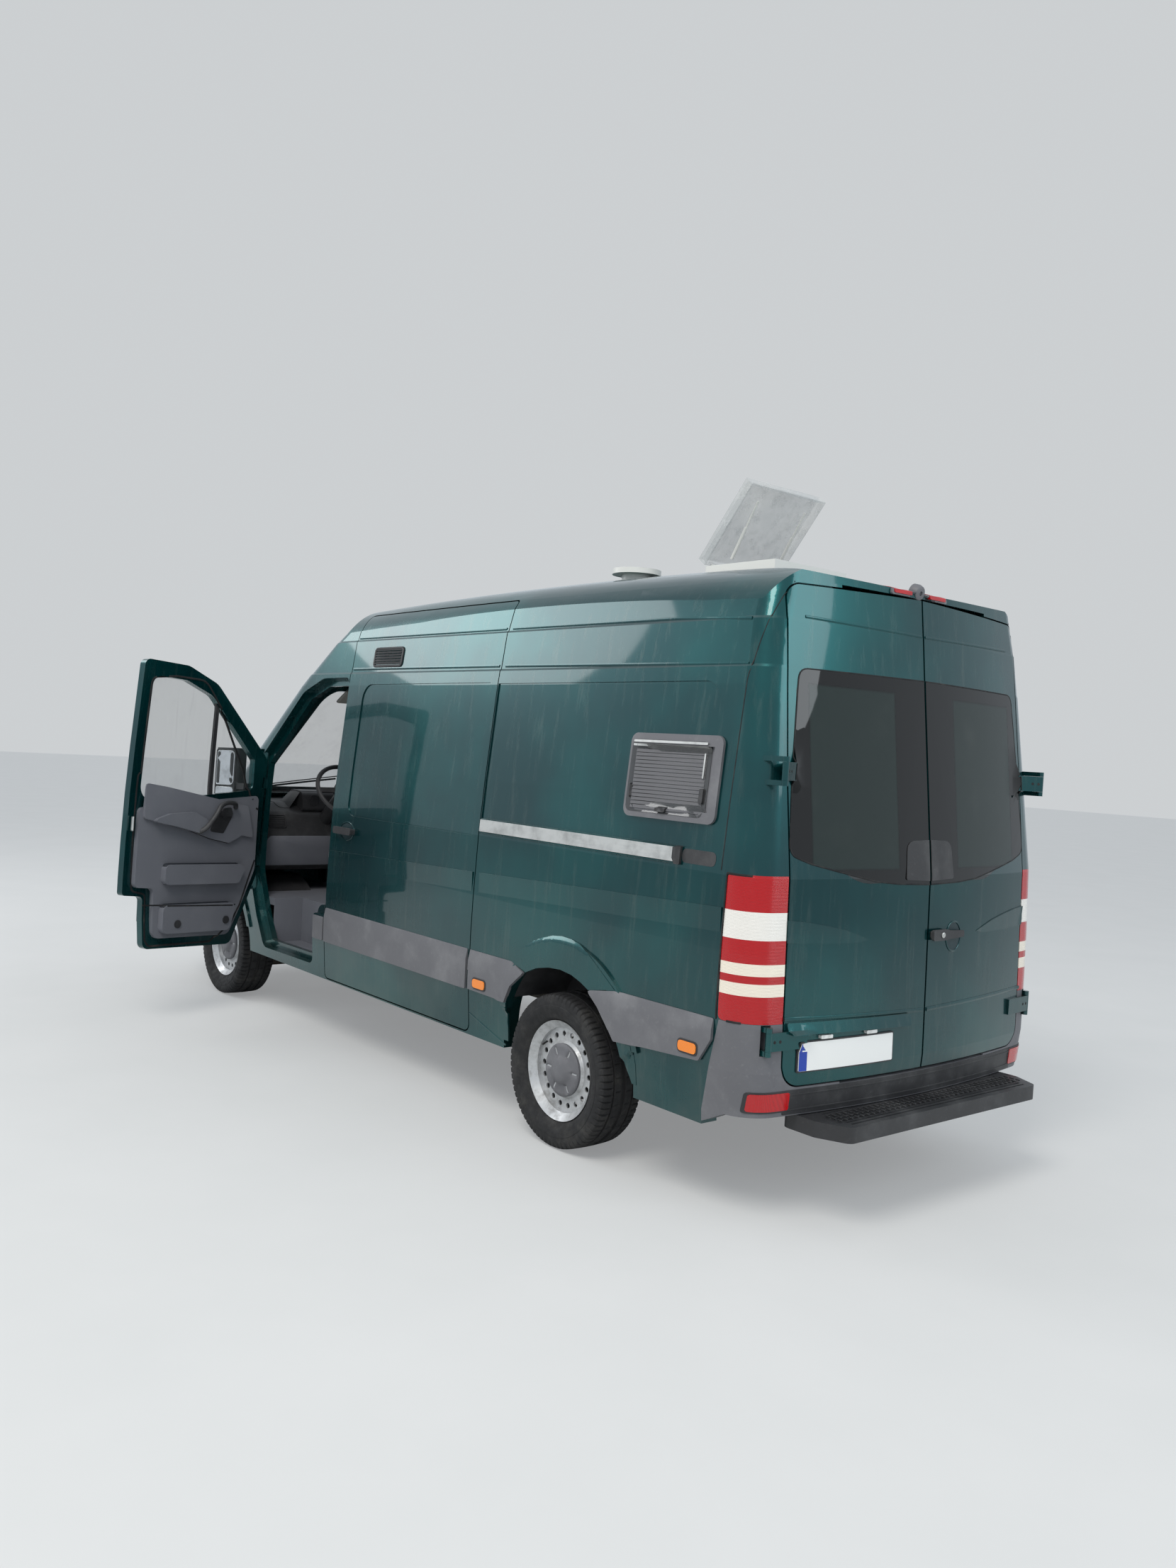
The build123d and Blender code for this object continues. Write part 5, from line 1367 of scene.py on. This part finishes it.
def add_front():
    front = Skin("front_grille", "front_bumper", "headlamps", "front_wings", "bonnet")
    Pen(FRONT_LOOK, front).beads("grille_rim", "grey_trim", [[(-0.44, 0.998), (0.44, 0.998)]], 0.018, 0.008)
    for side, sign in SIDES.items():
        pen = Pen(FRONT_LOOK, front, ending="_" + side)
        shell = Piece(pen)
        for across, height, radius in ((0.66, 0.87, 0.062), (0.79, 0.90, 0.055)):
            shell.lathe(reflector_profile(radius), pen.spot((sign * across, height), -0.010), ALONG, 36)
        shell.finish("lamp_reflectors", "mirror_glass")
    band = oblong(-0.2595, 0.4805, -0.22, 0.5895, 0.003)
    Pen(FRONT_LOOK, Skin("front_bumper")).plates(
        ("front_plate", "plate", [oblong(-0.26, 0.48, 0.26, 0.59, 0.006)], 0.006, 0.003, 0.06, 0.001),
        ("front_plate_band", "blue", [band], 0.0068, -0.004, 0.06, 0),
    )
    glass = Pen(FRONT_LOOK, Skin("windscreen", "bonnet", "cab_shell"))
    wipers = Piece(glass)
    for base, tip in (((0.62, 1.40), (0.10, 1.47)), ((-0.08, 1.40), (-0.60, 1.47))):
        start, end = Vector(base), Vector(tip)
        wipers.trace([start, end], 0.012, 0.014)
        wipers.trace([start + Vector((-0.02, 0.02)), end + Vector((-0.06, 0.028))], 0.007, 0.010)
    wipers.finish("wipers", "trim")
    glass.beads("windscreen_edge", "frit", [[(-0.70, 1.375), (0.70, 1.375)]], 0.05, 0.002)


# Camera, floor and light

CAMERA_PLACE = (-7.92677, 4.39301, 1.78651)
CAMERA_YAW, CAMERA_PITCH, CAMERA_ROLL = -0.690284, -0.027514, 0.058959
FOCAL_PIXELS = 1737.69
PHOTO_HEIGHT = 2212
SENSOR = 36.0
SKY, PALE_SKY = ((0.86, 0.93, 1.0, 1), 0.8), ((0.84, 0.87, 0.89, 1), 0.72)
FLOOR_REACH = 60
FLOOR_GLOW_SHARE = 0.4
# Each lamp: its place, the point that it shines at, its width, power and colour.
LAMPS = {
    "key": ((-6.5, 7.0, 9.5), (-2.2, 0.4, 1.0), 5.0, 700, (1.0, 0.97, 0.92)),
    "fill": ((-13.0, -3.0, 6.0), (-3.5, 0.0, 1.2), 6.0, 300, (0.90, 0.96, 1.0)),
    "far": ((6.0, 6.0, 6.0), (-0.5, 0.0, 1.0), 5.0, 260, (1.0, 1.0, 1.0)),
}


def add_camera():
    """The camera that took the photograph, as fitted to the van."""
    level = math.cos(CAMERA_PITCH)
    forward = Vector((level * math.cos(CAMERA_YAW), level * math.sin(CAMERA_YAW), math.sin(CAMERA_PITCH)))
    right = forward.cross(Vector(UP)).normalized()
    up = right.cross(forward)
    turn, lift = math.cos(CAMERA_ROLL), math.sin(CAMERA_ROLL)
    columns = (turn * right + lift * up, turn * up - lift * right, -forward)
    data = bpy.data.cameras.new("camera")
    data.sensor_fit = "VERTICAL"
    data.sensor_height = SENSOR
    data.lens = FOCAL_PIXELS * SENSOR / PHOTO_HEIGHT
    data.clip_end = 200
    camera = bpy.data.objects.new("camera", data)
    camera.matrix_world = Matrix.Translation(at(*CAMERA_PLACE)) @ Matrix(columns).transposed().to_4x4()
    bpy.context.scene.collection.objects.link(camera)
    bpy.context.scene.camera = camera


def add_world():
    """A soft sky that lights the van, and a pale one that the camera sees."""
    world = bpy.data.worlds.new("studio")
    world.use_nodes = True
    tree = world.node_tree
    soft, pale = tree.nodes["Background"], tree.nodes.new("ShaderNodeBackground")
    for node, (colour, strength) in ((soft, SKY), (pale, PALE_SKY)):
        node.inputs["Color"].default_value = colour
        node.inputs["Strength"].default_value = strength
    mix = tree.nodes.new("ShaderNodeMixShader")
    paths = tree.nodes.new("ShaderNodeLightPath")
    tree.links.new(paths.outputs["Is Camera Ray"], mix.inputs[0])
    tree.links.new(soft.outputs[0], mix.inputs[1])
    tree.links.new(pale.outputs[0], mix.inputs[2])
    tree.links.new(mix.outputs[0], tree.nodes["World Output"].inputs[0])
    bpy.context.scene.world = world


def add_floor():
    """A plain pale floor with a faint mottle."""
    mesh = bpy.data.meshes.new("floor")
    corners = oblong(-FLOOR_REACH, -FLOOR_REACH, FLOOR_REACH, FLOOR_REACH)
    mesh.from_pydata([(x, y, 0) for x, y in corners], [], [(0, 1, 2, 3)])
    floor = bpy.data.objects.new("floor", mesh)
    bpy.context.scene.collection.objects.link(floor)
    ground = Surface("floor_pale", Roughness=0.9, Specular_IOR_Level=0.1)
    ground.set("Base Color", ground.mix(ground.noise(1.5, 6.0), (0.60, 0.61, 0.60), (0.68, 0.68, 0.67)))
    paler = ground.times(ground.add("ShaderNodeLightPath").outputs["Is Camera Ray"], FLOOR_GLOW_SHARE)
    glow = ground.add("ShaderNodeEmission", {"Color": (0.62, 0.63, 0.64), "Strength": 1.0})
    blend = ground.add("ShaderNodeMixShader", {0: paler, 1: ground.shader.outputs[0], 2: glow.outputs[0]})
    ground.feed(ground.output.inputs[0], blend.outputs[0])
    mesh.materials.append(ground.material)


def add_lamps():
    for name, (place, target, size, power, colour) in LAMPS.items():
        data = bpy.data.lights.new(name, "AREA")
        data.shape = "DISK"
        data.size = size
        data.energy = power
        data.color = colour
        lamp = bpy.data.objects.new(name, data)
        lamp.location = at(*place)
        lamp.rotation_euler = (at(*target) - lamp.location).to_track_quat("-Z", "Y").to_euler()
        bpy.context.scene.collection.objects.link(lamp)


scene = bpy.context.scene
scene.view_settings.view_transform = "Standard"
finish_nodes()
add_rear_doors()
add_rear_handle()
add_rear_end()
for side, sign in SIDES.items():
    add_side(side, sign)
add_camper_window()
add_roof()
add_wheels()
for side, sign in SIDES.items():
    add_cab_door(side, sign)
add_seats()
add_cab()
add_front()
add_camera()
add_world()
add_floor()
add_lamps()
